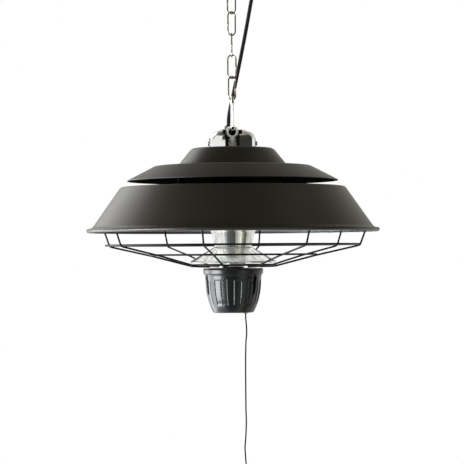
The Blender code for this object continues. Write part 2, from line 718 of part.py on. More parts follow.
def make_snap_gate():
    """The snap hook's gate, forked over the tongue and turning on its pin."""
    along, pivot = snap_hook_layout()[-2:]
    gate = wire_mesh([pivot - along * GATE_TAIL, pivot + along * GATE_LENGTH], SNAP_WIRE, 2)
    radius = SNAP_WIRE / 2
    slot_half = GATE_TONGUE / 2 + GAP
    slot_end = math.hypot(radius, radius) + GAP
    outline = [(-slot_half, -OVERRUN), (slot_half, -OVERRUN), (slot_half, slot_end + GATE_TAIL),
               (-slot_half, slot_end + GATE_TAIL)]
    slot = prism(outline, pivot - along * GATE_TAIL, AXIS_Y, along, SNAP_WIRE + OVERRUN)
    reach = AXIS_Y * (radius + OVERRUN)
    hole = rod(GATE_PIN_RADIUS + GATE_PIN_CLEARANCE, pivot - reach, pivot + reach, 8)
    gate = cut(gate, slot, hole)
    turn = Matrix.Rotation(math.radians(SNAP_PLANE_DEG), 3, AXIS_Z)
    moved(gate, turn=math.radians(SNAP_PLANE_DEG))
    put("snap_hook_gate", gate, ZINC, pivot=turn @ pivot)


def make_supply_cable():
    """The flexible cable beside the chain, in one stretch over each joint of the chain."""
    length = line_length(CABLE_LINE)
    stretch = length / CABLE_STRETCHES
    for index in range(CABLE_STRETCHES):
        start = index * stretch + FLAT_GAP / 2
        end = (index + 1) * stretch - FLAT_GAP / 2
        points = even_points(CABLE_LINE, start, end, CABLE_POINTS)
        put_wire(f"supply_cable_{index + 1}", points, CABLE_DIAMETER, 2, CABLE_SHEATH)


def make_eye_nut():
    """The cast eye that the snap hook passes through, on its threaded base."""
    ring_radius = (EYE_HOLE + EYE_WIRE) / 2
    circle = arc((0.0, EYE_CENTRE), ring_radius, 0, 360, EYE_STEPS)[:-1]
    ring = wire_mesh([(x, 0.0, z) for x, z in circle], EYE_WIRE, 3, cyclic=True)
    thread = STUD_RADIUS + THREAD_CLEARANCE
    thread_top = EYE_BASE_BOTTOM + EYE_THREAD
    neck_top = EYE_BASE_TOP + EYE_WIRE * EYE_ROOT_SHARE
    base = turned([(0.0, neck_top), (EYE_NECK_RADIUS, neck_top),
                   (EYE_BASE_RADIUS, EYE_BASE_TOP - EYE_NECK_HEIGHT), (EYE_BASE_RADIUS, EYE_BASE_BOTTOM),
                   (thread, EYE_BASE_BOTTOM), (thread, thread_top), (0.0, thread_top)],
                  ROUND_SIDES, closed=False)
    put("eye_nut", joined(base, ring), ZINC, HEATER)


def make_stud_stack():
    """The stud through the crown, with the nut and washer that clamp it."""
    top = EYE_BASE_BOTTOM + EYE_THREAD - GAP
    put("eye_stud", rod(STUD_RADIUS, (0.0, 0.0, SEAT - STUD_REACH), (0.0, 0.0, top)), ZINC, HEATER)
    hole = STUD_RADIUS + THREAD_CLEARANCE
    washer_bottom = SEAT + GAP
    washer_top = washer_bottom + WASHER_THICKNESS
    washer = turned([(hole, washer_bottom), (WASHER_RADIUS, washer_bottom), (WASHER_RADIUS, washer_top),
                     (hole, washer_top)], ROUND_SIDES)
    put("stud_washer", washer, ZINC, HEATER)
    put("stud_nut", nut(NUT_RADIUS, hole, washer_top + GAP, NUT_HEIGHT), ZINC, HEATER)


def gland_place():
    return Vector((CABLE_ROUTE[-1][0], CABLE_ROUTE[-1][1], 0.0))


def make_top_cover():
    """The chrome dome over the stud, open in front for the eye and bored for the cable gland."""
    base = SEAT + GAP
    flat = SEAT + DOME_HEIGHT
    shoulder = (DOME_SHOULDER_RADIUS, SEAT + DOME_SHOULDER_HEIGHT)
    corner = (DOME_RADIUS, (shoulder[1] + SEAT + DOME_WALL_HEIGHT) / 2)
    line = [(DOME_MOUTH_RADIUS, flat), (DOME_FLAT_RADIUS, flat)]
    line += bend(shoulder, corner, (DOME_RADIUS, SEAT + DOME_WALL_HEIGHT))
    line.append((DOME_RADIUS, base))
    dome = turned(sheet_outline(line, DOME_WALL), BODY_SIDES)
    low, high = base - OVERRUN, flat + OVERRUN
    front = -DOME_RADIUS - OVERRUN
    notch = block((-NOTCH_WIDTH / 2, front, low), (NOTCH_WIDTH / 2, 0.0, high))
    step = block((-NOTCH_TOP_WIDTH / 2, front, SEAT + NOTCH_STEP_HEIGHT), (NOTCH_TOP_WIDTH / 2, 0.0, high))
    centre = gland_place()
    bore = rod(GLAND_RADIUS + GAP, centre + AXIS_Z * (SEAT + NOTCH_STEP_HEIGHT), centre + AXIS_Z * high)
    reach = AXIS_X * (DOME_RADIUS + OVERRUN)
    level = AXIS_Z * (SEAT + COVER_SCREW_HEIGHT)
    screws = rod(COVER_SCREW_SHANK + GAP, level - reach, level + reach)
    put("top_cover", cut(dome, notch, step, bore, screws), CHROME, HEATER)


def make_cover_screws():
    """The two thumb screws that hold the dome at its sides."""
    face = DOME_RADIUS + GAP
    head = face + COVER_SCREW_HEAD_LENGTH
    outline = [(0.0, head), (COVER_SCREW_HEAD - COVER_SCREW_CROWN, head),
               (COVER_SCREW_HEAD, head - COVER_SCREW_CROWN), (COVER_SCREW_HEAD, face),
               (COVER_SCREW_SHANK, face), (COVER_SCREW_SHANK, face - COVER_SCREW_LENGTH),
               (0.0, face - COVER_SCREW_LENGTH)]
    level = Vector((0.0, 0.0, SEAT + COVER_SCREW_HEIGHT))
    for name, side in (("cover_screw_left", -1), ("cover_screw_right", 1)):
        screw = turned(outline, SMALL_SIDES, closed=False)
        put(name, moved(screw, level, side * math.pi / 2, AXIS_Y), CHROME, HEATER)


def make_terminal_box():
    """The terminal box behind the eye, with the gland that clamps the cable."""
    bottom = SEAT + GAP
    top = bottom + BOX_HEIGHT
    box = block((-BOX_WIDTH / 2, BOX_FRONT, bottom), (BOX_WIDTH / 2, BOX_FRONT + BOX_DEPTH, top), BOX_EDGE)
    put("terminal_box", box, BLACK_PLASTIC, HEATER)
    nut_bottom = SEAT + DOME_HEIGHT + GAP
    gland_top = nut_bottom + GLAND_NUT_HEIGHT + GLAND_RIM
    foot = top + GAP
    gland = turned([(CABLE_BORE, gland_top), (GLAND_RADIUS - GLAND_RIM / 2, gland_top),
                    (GLAND_RADIUS, gland_top - GLAND_RIM), (GLAND_RADIUS, foot + GLAND_RIM),
                    (GLAND_RADIUS + GLAND_RIM / 2, foot + GLAND_RIM), (GLAND_RADIUS + GLAND_RIM / 2, foot),
                    (CABLE_BORE, foot)], SMALL_SIDES)
    put("cable_gland", moved(gland, gland_place()), BLACK_PLASTIC, HEATER)
    cap = nut(GLAND_NUT_RADIUS, GLAND_RADIUS + GAP, nut_bottom, GLAND_NUT_HEIGHT, gland_place())
    put("gland_nut", cap, BLACK_PLASTIC, HEATER)


def make_crown():
    """The pressed cap on top of the brim, which the stud clamps to the centre tube."""
    slope = (CROWN_BOTTOM_RADIUS - CROWN_TOP_RADIUS) / CROWN_CONE_HEIGHT
    line = [(STUD_RADIUS + THREAD_CLEARANCE, SEAT)]
    line += bend((CROWN_TOP_RADIUS - CROWN_FILLET, SEAT), (CROWN_TOP_RADIUS, SEAT),
                 (CROWN_TOP_RADIUS + slope * CROWN_FILLET, SEAT - CROWN_FILLET))
    foot = SEAT - CROWN_HEIGHT + SHEET
    line += [(CROWN_BOTTOM_RADIUS, SEAT - CROWN_CONE_HEIGHT),
             ((CROWN_BOTTOM_RADIUS + CROWN_FOOT_RADIUS) / 2, foot), (CROWN_FOOT_RADIUS, foot)]
    put("top_cap", turned(sheet_outline(line, SHEET), BODY_SIDES), DARK_PAINT, HEATER)


def make_brim():
    """The hood over the vents, flat in the middle and sloping to a sharp edge."""
    slope = BRIM_FALL / (BRIM_RADIUS - BRIM_FLAT_RADIUS)
    line = [(TUBE_RADIUS + GAP, BRIM_TOP)]
    line += bend((BRIM_FLAT_RADIUS - SHOULDER_FILLET, BRIM_TOP), (BRIM_FLAT_RADIUS, BRIM_TOP),
                 (BRIM_FLAT_RADIUS + SHOULDER_FILLET, BRIM_TOP - slope * SHOULDER_FILLET), 1)
    line.append((BRIM_RADIUS, BRIM_TOP - BRIM_FALL))
    put("brim_hood", turned(sheet_outline(line, SHEET), SHEET_SIDES), DARK_PAINT, HEATER)


def make_main_shade():
    """The spun shade: a vent ring, a cone and a rolled rim."""
    slope = (CONE_RADIUS - SHOULDER_RADIUS) / CONE_HEIGHT
    corner = (SHOULDER_RADIUS - slope * SHOULDER_DROP, SHADE_TOP)
    line = [(VENT_RADIUS, SHADE_TOP)]
    line += bend((corner[0] - SHOULDER_FILLET, SHADE_TOP), corner, (SHOULDER_RADIUS, CONE_TOP), 2)
    line.append((CONE_RADIUS, CONE_FOOT))
    line += arc((SHADE_RADIUS - ROLL_RADIUS, ROLL_CENTRE), ROLL_RADIUS, *ROLL_ARC_DEG, ROLL_STEPS)
    put("main_shade", turned(sheet_outline(line, SHADE_WALL), SHEET_SIDES), DARK_PAINT, HEATER)


def make_spacers():
    """The posts that carry the shade under the brim and keep the vent open."""
    for index in range(SPACER_COUNT):
        place = compass((index + 1 / 2) * 360 / SPACER_COUNT) * SPACER_PLACE
        low = place + AXIS_Z * (SHADE_TOP + GAP)
        high = place + AXIS_Z * (BRIM_UNDERSIDE - GAP)
        put(f"shade_spacer_{index + 1}", rod(SPACER_RADIUS, low, high), STEEL, HEATER)


def make_centre_tube():
    """The threaded tube that clamps crown, column, reflector and pot together, with its nut."""
    thread = STUD_RADIUS + THREAD_CLEARANCE
    top = SEAT - SHEET - GAP
    plug = SEAT - STUD_REACH - GAP
    tail = POT_PLATE_UNDERSIDE - TUBE_TAIL
    tube = turned([(thread, top), (TUBE_RADIUS, top), (TUBE_RADIUS, tail), (TUBE_BORE, tail),
                   (TUBE_BORE, plug), (thread, plug)], ROUND_SIDES)
    put("centre_tube", tube, STEEL, HEATER)
    bottom = POT_PLATE_UNDERSIDE - GAP - TUBE_NUT_HEIGHT
    put("tube_nut", nut(TUBE_NUT_RADIUS, TUBE_RADIUS + GAP, bottom, TUBE_NUT_HEIGHT), ZINC, HEATER)


def make_column():
    """The brushed column round the centre tube, drawn in to a waist."""
    straight = COLUMN_TOP - COLUMN_STRAIGHT
    line = [(TUBE_RADIUS + GAP, COLUMN_TOP), (COLUMN_RADIUS, COLUMN_TOP), (COLUMN_RADIUS, straight)]
    line += [(COLUMN_RADIUS - COLUMN_STEP, straight - COLUMN_STEP - COLUMN_STEP),
             (WAIST_RADIUS + WAIST_FLARE, COLUMN_BOTTOM + WAIST_FLARE + WAIST_FLARE),
             (WAIST_RADIUS, COLUMN_BOTTOM)]
    put("reflector_column", turned(sheet_outline(line, COLUMN_WALL), BODY_SIDES), BRUSHED_ALUMINIUM, HEATER)


def make_lower_reflector():
    """The polished cone under the column, with a short turned lip."""
    rim = LOWER_TOP - LOWER_FALL
    line = [(TUBE_RADIUS + GAP, LOWER_TOP), (WAIST_RADIUS, LOWER_TOP), (LOWER_RADIUS, rim),
            (LOWER_RADIUS, rim - LOWER_LIP)]
    put("lower_reflector", turned(sheet_outline(line, SHEET), BODY_SIDES), POLISHED_ALUMINIUM, HEATER)


DISH_INNER = COLUMN_RADIUS + GAP + SHEET
DISH_FLOOR = DISH_TOP - DISH_COLLAR
DISH_LINE = bend((DISH_INNER, DISH_FLOOR), (DISH_RADIUS * DISH_BEND_SHARE, DISH_FLOOR),
                 (DISH_RADIUS, DISH_FLOOR - DISH_FALL), 3)


def dish_underside(radius):
    """The height of the dish's lower face at a radius."""
    for (r0, z0), (r1, z1) in zip(DISH_LINE, DISH_LINE[1:]):
        if r0 <= radius <= r1:
            lean = math.hypot(r1 - r0, z1 - z0) / (r1 - r0)
            return z0 + (z1 - z0) * (radius - r0) / (r1 - r0) - SHEET * lean
    return DISH_LINE[-1][1] - SHEET


def make_upper_reflector():
    """The polished dish over the lamp, held by a collar round the column."""
    line = [(DISH_INNER, DISH_TOP)] + DISH_LINE
    put("upper_reflector", turned(sheet_outline(line, SHEET), BODY_SIDES), POLISHED_ALUMINIUM, HEATER)


def lamp_arc(start_deg, end_deg, stations):
    """Points on the lamp's ring, in degrees from the middle of its gap at the back."""
    points = []
    for station in range(stations + 1):
        angle = 180 + start_deg + (end_deg - start_deg) * station / stations
        points.append(compass(angle) * LAMP_RING_RADIUS + AXIS_Z * LAMP_LEVEL)
    return points


def make_lamp():
    """The halogen ring: a quartz tube with its filament, held in two ceramic caps."""
    ends = (LAMP_GAP_DEG, 360 - LAMP_GAP_DEG)
    spare = math.degrees(OVERRUN / LAMP_RING_RADIUS)
    line = lamp_arc(*ends, LAMP_STATIONS)
    outer = wire_mesh(line, LAMP_TUBE_RADIUS * 2, 2)
    inner = wire_mesh(lamp_arc(ends[0] - spare, ends[1] + spare, LAMP_STATIONS), LAMP_BORE * 2, 1)
    put("lamp_tube", cut(outer, inner), QUARTZ, HEATER)
    put_wire("lamp_filament", line, FILAMENT_RADIUS * 2, 0, TUNGSTEN, HEATER)
    for index, (side, tip, following) in enumerate(((1, line[0], line[1]), (-1, line[-1], line[-2]))):
        middle_deg = LAMP_GAP_DEG - math.degrees((CAP_LENGTH / 2 - CAP_SOCKET + GAP) / LAMP_RING_RADIUS)
        out = compass(180 + side * middle_deg)
        place = out * LAMP_RING_RADIUS + AXIS_Z * LAMP_LEVEL
        half, height = CAP_RADIAL / 2, CAP_HEIGHT / 2
        stem = CAP_STEM / 2
        stem_top = dish_underside(LAMP_RING_RADIUS + stem) - GAP - LAMP_LEVEL
        outline = [(-half, -height), (half, -height), (half, height), (stem, height), (stem, stem_top),
                   (-stem, stem_top), (-stem, height), (-half, height)]
        cap = prism(outline, place, out, AXIS_Z, CAP_LENGTH)
        toward = (following - tip).normalized()
        bottom = tip - toward * GAP
        socket = rod(LAMP_TUBE_RADIUS + GAP, bottom, bottom + toward * (CAP_SOCKET + OVERRUN))
        put(f"lamp_end_cap_{index + 1}", cut(cap, socket), CERAMIC, HEATER)


def make_lamp_clips():
    """Three sprung clips under the dish, each an open ring round the lamp."""
    inner = LAMP_TUBE_RADIUS + GAP
    outer = inner + CLIP_WALL
    mouth = CLIP_MOUTH_DEG / 2
    stem = CLIP_WALL / 2
    root = math.degrees(math.asin(stem / outer))
    chord = math.radians((360 - LAMP_GAP_DEG - LAMP_GAP_DEG) / LAMP_STATIONS)
    middle = LAMP_RING_RADIUS * math.cos(chord / 2)
    for index, angle in enumerate(CLIP_ANGLES_DEG):
        out = compass(angle)
        top = dish_underside(middle + stem) - GAP - LAMP_LEVEL
        outline = arc((0.0, 0.0), outer, mouth - 90, 90 - root, CLIP_STEPS)
        outline += [(stem, top), (-stem, top)]
        outline += arc((0.0, 0.0), outer, 90 + root, 270 - mouth, CLIP_STEPS)
        outline += arc((0.0, 0.0), inner, 270 - mouth, mouth - 90, CLIP_STEPS * 2)
        place = out * middle + AXIS_Z * LAMP_LEVEL
        put(f"lamp_clip_{index + 1}", prism(outline, place, out, AXIS_Z, CLIP_WIDTH), STEEL, HEATER)


def wall_line(rise, inset):
    """A point inside the shade's cone, at a rise above its foot and an inset from its inner face."""
    slope = (CONE_RADIUS - SHOULDER_RADIUS) / CONE_HEIGHT
    square = math.hypot(1.0, slope)
    sag = sagitta(CONE_RADIUS, SHEET_SIDES)
    return CONE_RADIUS - slope * rise - (SHADE_WALL + inset) * square - sag, CONE_FOOT + rise


def make_wire_guard():
    """The welded basket: three rings on eight bent ribs, which end inside the rim and on the pot."""
    rings = [(radius, CONE_FOOT - drop) for radius, drop in zip(RING_RADII, RING_DROPS)]
    wire = GUARD_WIRE / 2
    inset = GAP + wire
    outer_bend = (rings[0][0] + WELD_OFFSET, rings[0][1])
    under = [(radius, height - WELD_OFFSET) for radius, height in rings]
    rib = [wall_line(GUARD_TOP_RISE, inset), wall_line(GUARD_BEND_RISE + wire, inset)]
    rib += bend(wall_line(GUARD_BEND_RISE, inset), outer_bend, under[0], GUARD_BEND_STEPS)
    rib += [under[1], under[2], (GUARD_INNER_RADIUS, POT_TOP + GAP + wire)]
    parts = []
    for index in range(GUARD_RIBS):
        out = compass(GUARD_TURN_DEG + index * 360 / GUARD_RIBS)
        parts.append(wire_mesh([out * radius + AXIS_Z * height for radius, height in rib], GUARD_WIRE, 1))
    for (radius, height), stations in zip(rings, RING_STATIONS):
        circle = arc((0.0, 0.0), radius, 0, 360, stations)[:-1]
        parts.append(wire_mesh([(x, y, height) for x, y in circle], GUARD_WIRE, 1, cyclic=True))
    put("wire_guard", joined(parts[-1], *parts[:-1]), BLACK_WIRE, HEATER)


def make_guard_clips():
    """Four saddles spot-welded inside the rim, each over the end of a rib."""
    wire = GUARD_WIRE / 2
    inner = wire + GAP
    outer = inner + GUARD_CLIP_WALL
    foot = outer + GUARD_CLIP_FOOT
    slope = math.atan2(CONE_RADIUS - SHOULDER_RADIUS, CONE_HEIGHT)
    bow = foot ** 2 / (CONE_RADIUS * 2)
    base = bow + GAP - inner
    outline = [(foot, base), (foot, base + GUARD_CLIP_WALL), (outer, base + GUARD_CLIP_WALL)]
    outline += arc((0.0, 0.0), outer, 0, 180, CLIP_STEPS)
    outline += [(-outer, base + GUARD_CLIP_WALL), (-foot, base + GUARD_CLIP_WALL), (-foot, base),
                (-inner, base)]
    outline += arc((0.0, 0.0), inner, 180, 0, CLIP_STEPS) + [(inner, base)]
    middle = (GUARD_BEND_RISE + wire + GUARD_TOP_RISE) / 2
    radius, height = wall_line(middle, inner)
    for index in range(0, GUARD_RIBS, 2):
        out = compass(GUARD_TURN_DEG + index * 360 / GUARD_RIBS)
        inward = -out * math.cos(slope) - AXIS_Z * math.sin(slope)
        place = out * radius + AXIS_Z * height
        saddle = prism(outline, place, AXIS_Z.cross(out), inward, GUARD_CLIP_LENGTH)
        put(f"guard_clip_{index // 2 + 1}", saddle, STEEL, HEATER)


def make_pot_cover():
    """The pot's lid, with the neck up to the reflector and the posts that the switch hangs on."""
    hole = TUBE_RADIUS + GAP
    edge = POT_COVER_EDGE
    spigot_foot = POT_COVER_FOOT - SPIGOT_DEPTH
    spigot_inner = SPIGOT_RADIUS - SPIGOT_WALL
    outline = [(hole, POT_NECK_TOP), (POT_NECK_RADIUS, POT_NECK_TOP)]
    outline += bend((POT_NECK_RADIUS, POT_TOP + edge + edge), (POT_NECK_RADIUS, POT_TOP),
                    (POT_NECK_RADIUS + edge + edge, POT_TOP), 2)
    outline += [(POT_COVER_RADIUS - edge, POT_TOP), (POT_COVER_RADIUS, POT_TOP - edge),
                (POT_COVER_RADIUS, POT_COVER_FOOT), (SPIGOT_RADIUS, POT_COVER_FOOT),
                (SPIGOT_RADIUS, spigot_foot), (spigot_inner, spigot_foot),
                (spigot_inner, POT_PLATE_UNDERSIDE), (hole, POT_PLATE_UNDERSIDE)]
    cover = turned(outline, BODY_SIDES)
    posts = []
    for side in (-1, 1):
        place = AXIS_X * side * CASE_POST_PLACE
        low = place + AXIS_Z * (POT_PLATE_UNDERSIDE - CASE_DROP + GAP)
        posts.append(rod(CASE_POST_RADIUS, low, place + AXIS_Z * (POT_PLATE_UNDERSIDE + POT_COVER_PLATE / 2)))
    put("pot_cover", joined(cover, *posts), BLACK_PLASTIC, HEATER)


def pot_radius(depth):
    """The pot's outer radius at a depth below its rim."""
    for (r0, d0), (r1, d1) in zip(POT_PROFILE_SHARES, POT_PROFILE_SHARES[1:]):
        if d0 <= depth / POT_HEIGHT <= d1:
            share = (depth / POT_HEIGHT - d0) / (d1 - d0)
            return POT_RADIUS * (r0 + (r1 - r0) * share)
    return POT_RADIUS * POT_PROFILE_SHARES[-1][0]


def fluted_body():
    """The pot's outside: rings of points, drawn in between the ribs where the flutes run."""
    bm = bmesh.new()
    rings = []
    for share, fluted in POT_RING_SHARES:
        depth = share * POT_HEIGHT
        ring = []
        for step in range(FLUTE_COUNT * FLUTE_POINTS):
            spot = step % FLUTE_POINTS
            radius = pot_radius(depth)
            if fluted and spot == 0:
                radius -= FLUTE_DEPTH
            spread = (0.0, -RIB_SHARE, RIB_SHARE)[spot]
            out = compass((step + spread) * 360 / (FLUTE_COUNT * FLUTE_POINTS))
            ring.append(bm.verts.new(out * radius + AXIS_Z * (POT_RIM - depth)))
        rings.append(ring)
    for upper, lower in zip(rings, rings[1:]):
        for index in range(len(upper)):
            following = (index + 1) % len(upper)
            bm.faces.new((upper[index], upper[following], lower[following], lower[index]))
    bm.faces.new(rings[0])
    bm.faces.new(rings[-1])
    return mesh_from(bm)


def make_pot_body():
    """The moulded pot: fluted wall, screw channels and the hole for the cord's bush."""
    wall = POT_WALL + FLUTE_DEPTH
    floor = POT_FOOT + POT_WALL
    top = SPIGOT_RADIUS + SPIGOT_CLEARANCE
    ledge = POT_RIM - SPIGOT_DEPTH - GAP
    outline = [(0.0, POT_RIM + OVERRUN), (top, POT_RIM + OVERRUN), (top, ledge)]
    for depth_share in CAVITY_DEPTH_SHARES:
        depth = depth_share * POT_HEIGHT
        outline.append((pot_radius(depth) - wall, POT_RIM - depth))
    outline += [(pot_radius(POT_HEIGHT - POT_WALL) - wall, floor), (0.0, floor)]
    cavity = turned(outline, ROUND_SIDES + SMALL_SIDES, closed=False)
    channels = []
    bosses = []
    for index in range(SCREW_CHANNELS):
        out = compass(CHANNEL_TURN_DEG + index * 360 / SCREW_CHANNELS) * CHANNEL_PLACE
        low = out + AXIS_Z * (POT_RIM - CHANNEL_BOTTOM)
        high = out + AXIS_Z * (POT_RIM - CHANNEL_TOP)
        channels.append(rod(CHANNEL_RADIUS, low, high))
        bosses.append(rod(CHANNEL_RADIUS + CHANNEL_WALL, out + AXIS_Z * (POT_FOOT - OVERRUN),
                          out + AXIS_Z * (ledge - GAP)))
    bush_place = Vector((CORD_PLACE, 0.0, POT_FOOT))
    hole = rod(BUSH_RADIUS + GAP, bush_place - AXIS_Z * OVERRUN, bush_place + AXIS_Z * (POT_WALL + OVERRUN))
    pot = cut(fluted_body(), cut(cavity, *bosses), *channels, hole)
    put("pot_body", pot, BLACK_PLASTIC, HEATER)


def make_switch_case():
    """The switch under the pot's lid, with the slot and bearings of its drum."""
    top = POT_PLATE_UNDERSIDE - CASE_DROP
    low = (-CASE_LEFT, -CASE_DEPTH / 2, top - CASE_HEIGHT)
    high = (CASE_WIDTH - CASE_LEFT, CASE_DEPTH / 2, top)
    case = block(low, high, CASE_EDGE)
    room = DRUM_FLANGE_RADIUS + SLOT_CLEARANCE
    half = DRUM_GROOVE_WIDTH / 2 + DRUM_FLANGE + GAP
    slot = block((DRUM_PLACE - room, -half, top - CASE_HEIGHT - OVERRUN),
                 (CASE_WIDTH, half, DRUM_LEVEL + room))
    reach = AXIS_Y * (half + DRUM_AXLE_LENGTH)
    centre = Vector((DRUM_PLACE, 0.0, DRUM_LEVEL))
    bearing = rod(DRUM_AXLE_RADIUS + GAP, centre - reach, centre + reach)
    put("switch_case", cut(case, slot, bearing), GREY_PLASTIC, HEATER)


def make_switch_drum():
    """The grooved drum that the pull cord winds off, with its two axle stubs."""
    groove = DRUM_GROOVE_WIDTH / 2
    flange = groove + DRUM_FLANGE
    stub = flange + DRUM_AXLE_LENGTH
    half = [(0.0, stub), (DRUM_AXLE_RADIUS, stub), (DRUM_AXLE_RADIUS, flange), (DRUM_FLANGE_RADIUS, flange),
            (DRUM_FLANGE_RADIUS, groove), (DRUM_GROOVE_RADIUS, groove)]
    outline = half + [(radius, -height) for radius, height in reversed(half)]
    drum = moved(turned(outline, ROUND_SIDES, closed=False), turn=math.pi / 2, about=AXIS_X)
    centre = (DRUM_PLACE, 0.0, DRUM_LEVEL)
    put("switch_drum", moved(drum, centre), CERAMIC, HEATER, pivot=centre)


def make_cord_bush():
    """The bush that guides the cord through the pot's floor."""
    bore = CORD_DIAMETER / 2 + BUSH_BORE_CLEARANCE
    face = -GAP
    bush = turned([(bore, face - BUSH_FLANGE), (BUSH_RADIUS, face - BUSH_FLANGE), (BUSH_FLANGE_RADIUS, face),
                   (BUSH_RADIUS, face), (BUSH_RADIUS, BUSH_NECK), (bore, BUSH_NECK)], SMALL_SIDES)
    put("cord_bush", moved(bush, (CORD_PLACE, 0.0, POT_FOOT)), BLACK_PLASTIC, HEATER)


def make_pull_cord():
    """The pull cord from the drum's groove down to its bell-shaped knob."""
    tail = [Vector((x, y, POT_FOOT + z)) for x, y, z in CORD_TAIL]
    straight = [Vector((CORD_PLACE, 0.0, DRUM_LEVEL)), Vector((CORD_PLACE, 0.0, (DRUM_LEVEL + POT_FOOT) / 2))]
    line = smooth_route(straight + tail)
    length = line_length(line)
    points = even_points(line, 0.0, length, round(length / CORD_SPACING) + 1)
    put_wire("pull_cord", points, CORD_DIAMETER, 2, CORD_YARN, PULL)
    top = tail[-1].z + KNOB_BORE_DEPTH
    bore = CORD_DIAMETER / 2 + BUSH_BORE_CLEARANCE
    bore_foot = tail[-1].z - GAP
    foot = top - KNOB_LENGTH
    outline = [(0.0, top), (KNOB_NECK_RADIUS, top)]
    outline += bend((KNOB_NECK_RADIUS + bore, top - KNOB_BORE_DEPTH), (KNOB_RADIUS, top - KNOB_BORE_DEPTH),
                    (KNOB_RADIUS, foot + KNOB_BORE_DEPTH), 4)
    outline += [(KNOB_RADIUS, foot + KNOB_NECK_RADIUS / 2), (KNOB_RADIUS - KNOB_NECK_RADIUS / 2, foot),
                (0.0, foot)]
    solid = turned(outline, SMALL_SIDES, closed=False)
    hole = rod(bore, (0.0, 0.0, bore_foot), (0.0, 0.0, top + OVERRUN))
    put("pull_knob", moved(cut(solid, hole), (tail[-1].x, tail[-1].y, 0.0)), BLACK_PLASTIC, PULL)


make_ceiling_plate()
make_ceiling_rose()
make_rose_bush()
make_ceiling_hook()
make_chain()
make_snap_hook()
make_snap_gate()
make_supply_cable()
make_eye_nut()
make_stud_stack()
make_top_cover()
make_cover_screws()
make_terminal_box()
make_crown()
make_brim()
make_main_shade()
make_spacers()
make_centre_tube()
make_column()
make_lower_reflector()
make_upper_reflector()
make_lamp()
make_lamp_clips()
make_wire_guard()
make_guard_clips()
make_pot_cover()
make_pot_body()
make_switch_case()
make_switch_drum()
make_cord_bush()
make_pull_cord()
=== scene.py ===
"""Hanging patio heater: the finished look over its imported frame, from the ceiling to the pull knob."""

import math

import bpy
from mathutils import Matrix, Vector


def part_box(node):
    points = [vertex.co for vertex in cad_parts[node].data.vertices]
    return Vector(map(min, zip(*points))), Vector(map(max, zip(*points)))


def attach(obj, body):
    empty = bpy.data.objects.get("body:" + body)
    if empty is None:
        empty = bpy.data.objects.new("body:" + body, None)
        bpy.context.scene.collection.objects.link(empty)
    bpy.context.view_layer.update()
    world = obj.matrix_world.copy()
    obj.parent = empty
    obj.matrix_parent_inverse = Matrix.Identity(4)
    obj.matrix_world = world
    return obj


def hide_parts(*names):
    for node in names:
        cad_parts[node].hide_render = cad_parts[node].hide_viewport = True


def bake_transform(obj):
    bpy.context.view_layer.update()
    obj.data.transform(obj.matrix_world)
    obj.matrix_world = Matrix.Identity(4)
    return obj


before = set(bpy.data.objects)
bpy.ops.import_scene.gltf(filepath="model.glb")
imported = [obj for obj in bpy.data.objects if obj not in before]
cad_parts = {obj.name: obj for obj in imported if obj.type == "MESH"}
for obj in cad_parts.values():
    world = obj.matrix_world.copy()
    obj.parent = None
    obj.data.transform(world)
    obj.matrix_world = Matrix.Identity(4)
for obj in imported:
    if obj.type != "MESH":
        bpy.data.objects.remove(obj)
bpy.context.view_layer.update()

# The studio: a long lens level with the shade's rim, a white floor and a white surround. Soft lamps stand at
# both sides, and cards on the surround that only reflections see shape the stripes in the metal.
CAMERA_PLACE = Vector((-0.0017, -3.196, -0.5))
CAMERA_AIM = Vector((-0.0017, 0.0, -0.4612))
CAMERA_ROLL_DEG = -0.4
CAMERA_LENS = 145.2
CAMERA_REACH = 60.0
FLOOR_LEVEL = -1.75
FLOOR_SIZE = 15.0
FLOOR_GLOW = 1.2
FLOOR_GLOW_SHARE = 0.72
SKY_LIGHT = 0.55
LAMP_AIM = Vector((0.0, 0.0, -0.4))
CARD_DISTANCE = 4.5
LOW_CARD_DISTANCE = 1.45
LOW_CARD_RISES = (-58.0, 4.0)


class Value:
    """A number or colour inside a material, which Python's plus and times work on."""

    def __init__(self, tree, socket):
        self.tree = tree
        self.socket = socket

    def joined(self, operation, other):
        node = self.tree.nodes.new("ShaderNodeMath")
        node.operation = operation
        for socket, value in zip(node.inputs, (self, other)):
            fill(self.tree, socket, value)
        return Value(self.tree, node.outputs[0])

    def __add__(self, other):
        return self.joined("ADD", other)

    def __mul__(self, other):
        return self.joined("MULTIPLY", other)

    __radd__ = __add__
    __rmul__ = __mul__


def fill(tree, socket, value):
    """Links a value to a socket, or sets a plain number or colour on it."""
    if isinstance(value, Value):
        tree.links.new(value.socket, socket)
    else:
        socket.default_value = value


def rgba(colour):
    """A full colour, from three numbers or from one grey."""
    return (colour, colour, colour, 1.0) if isinstance(colour, float) else (*colour, 1.0)


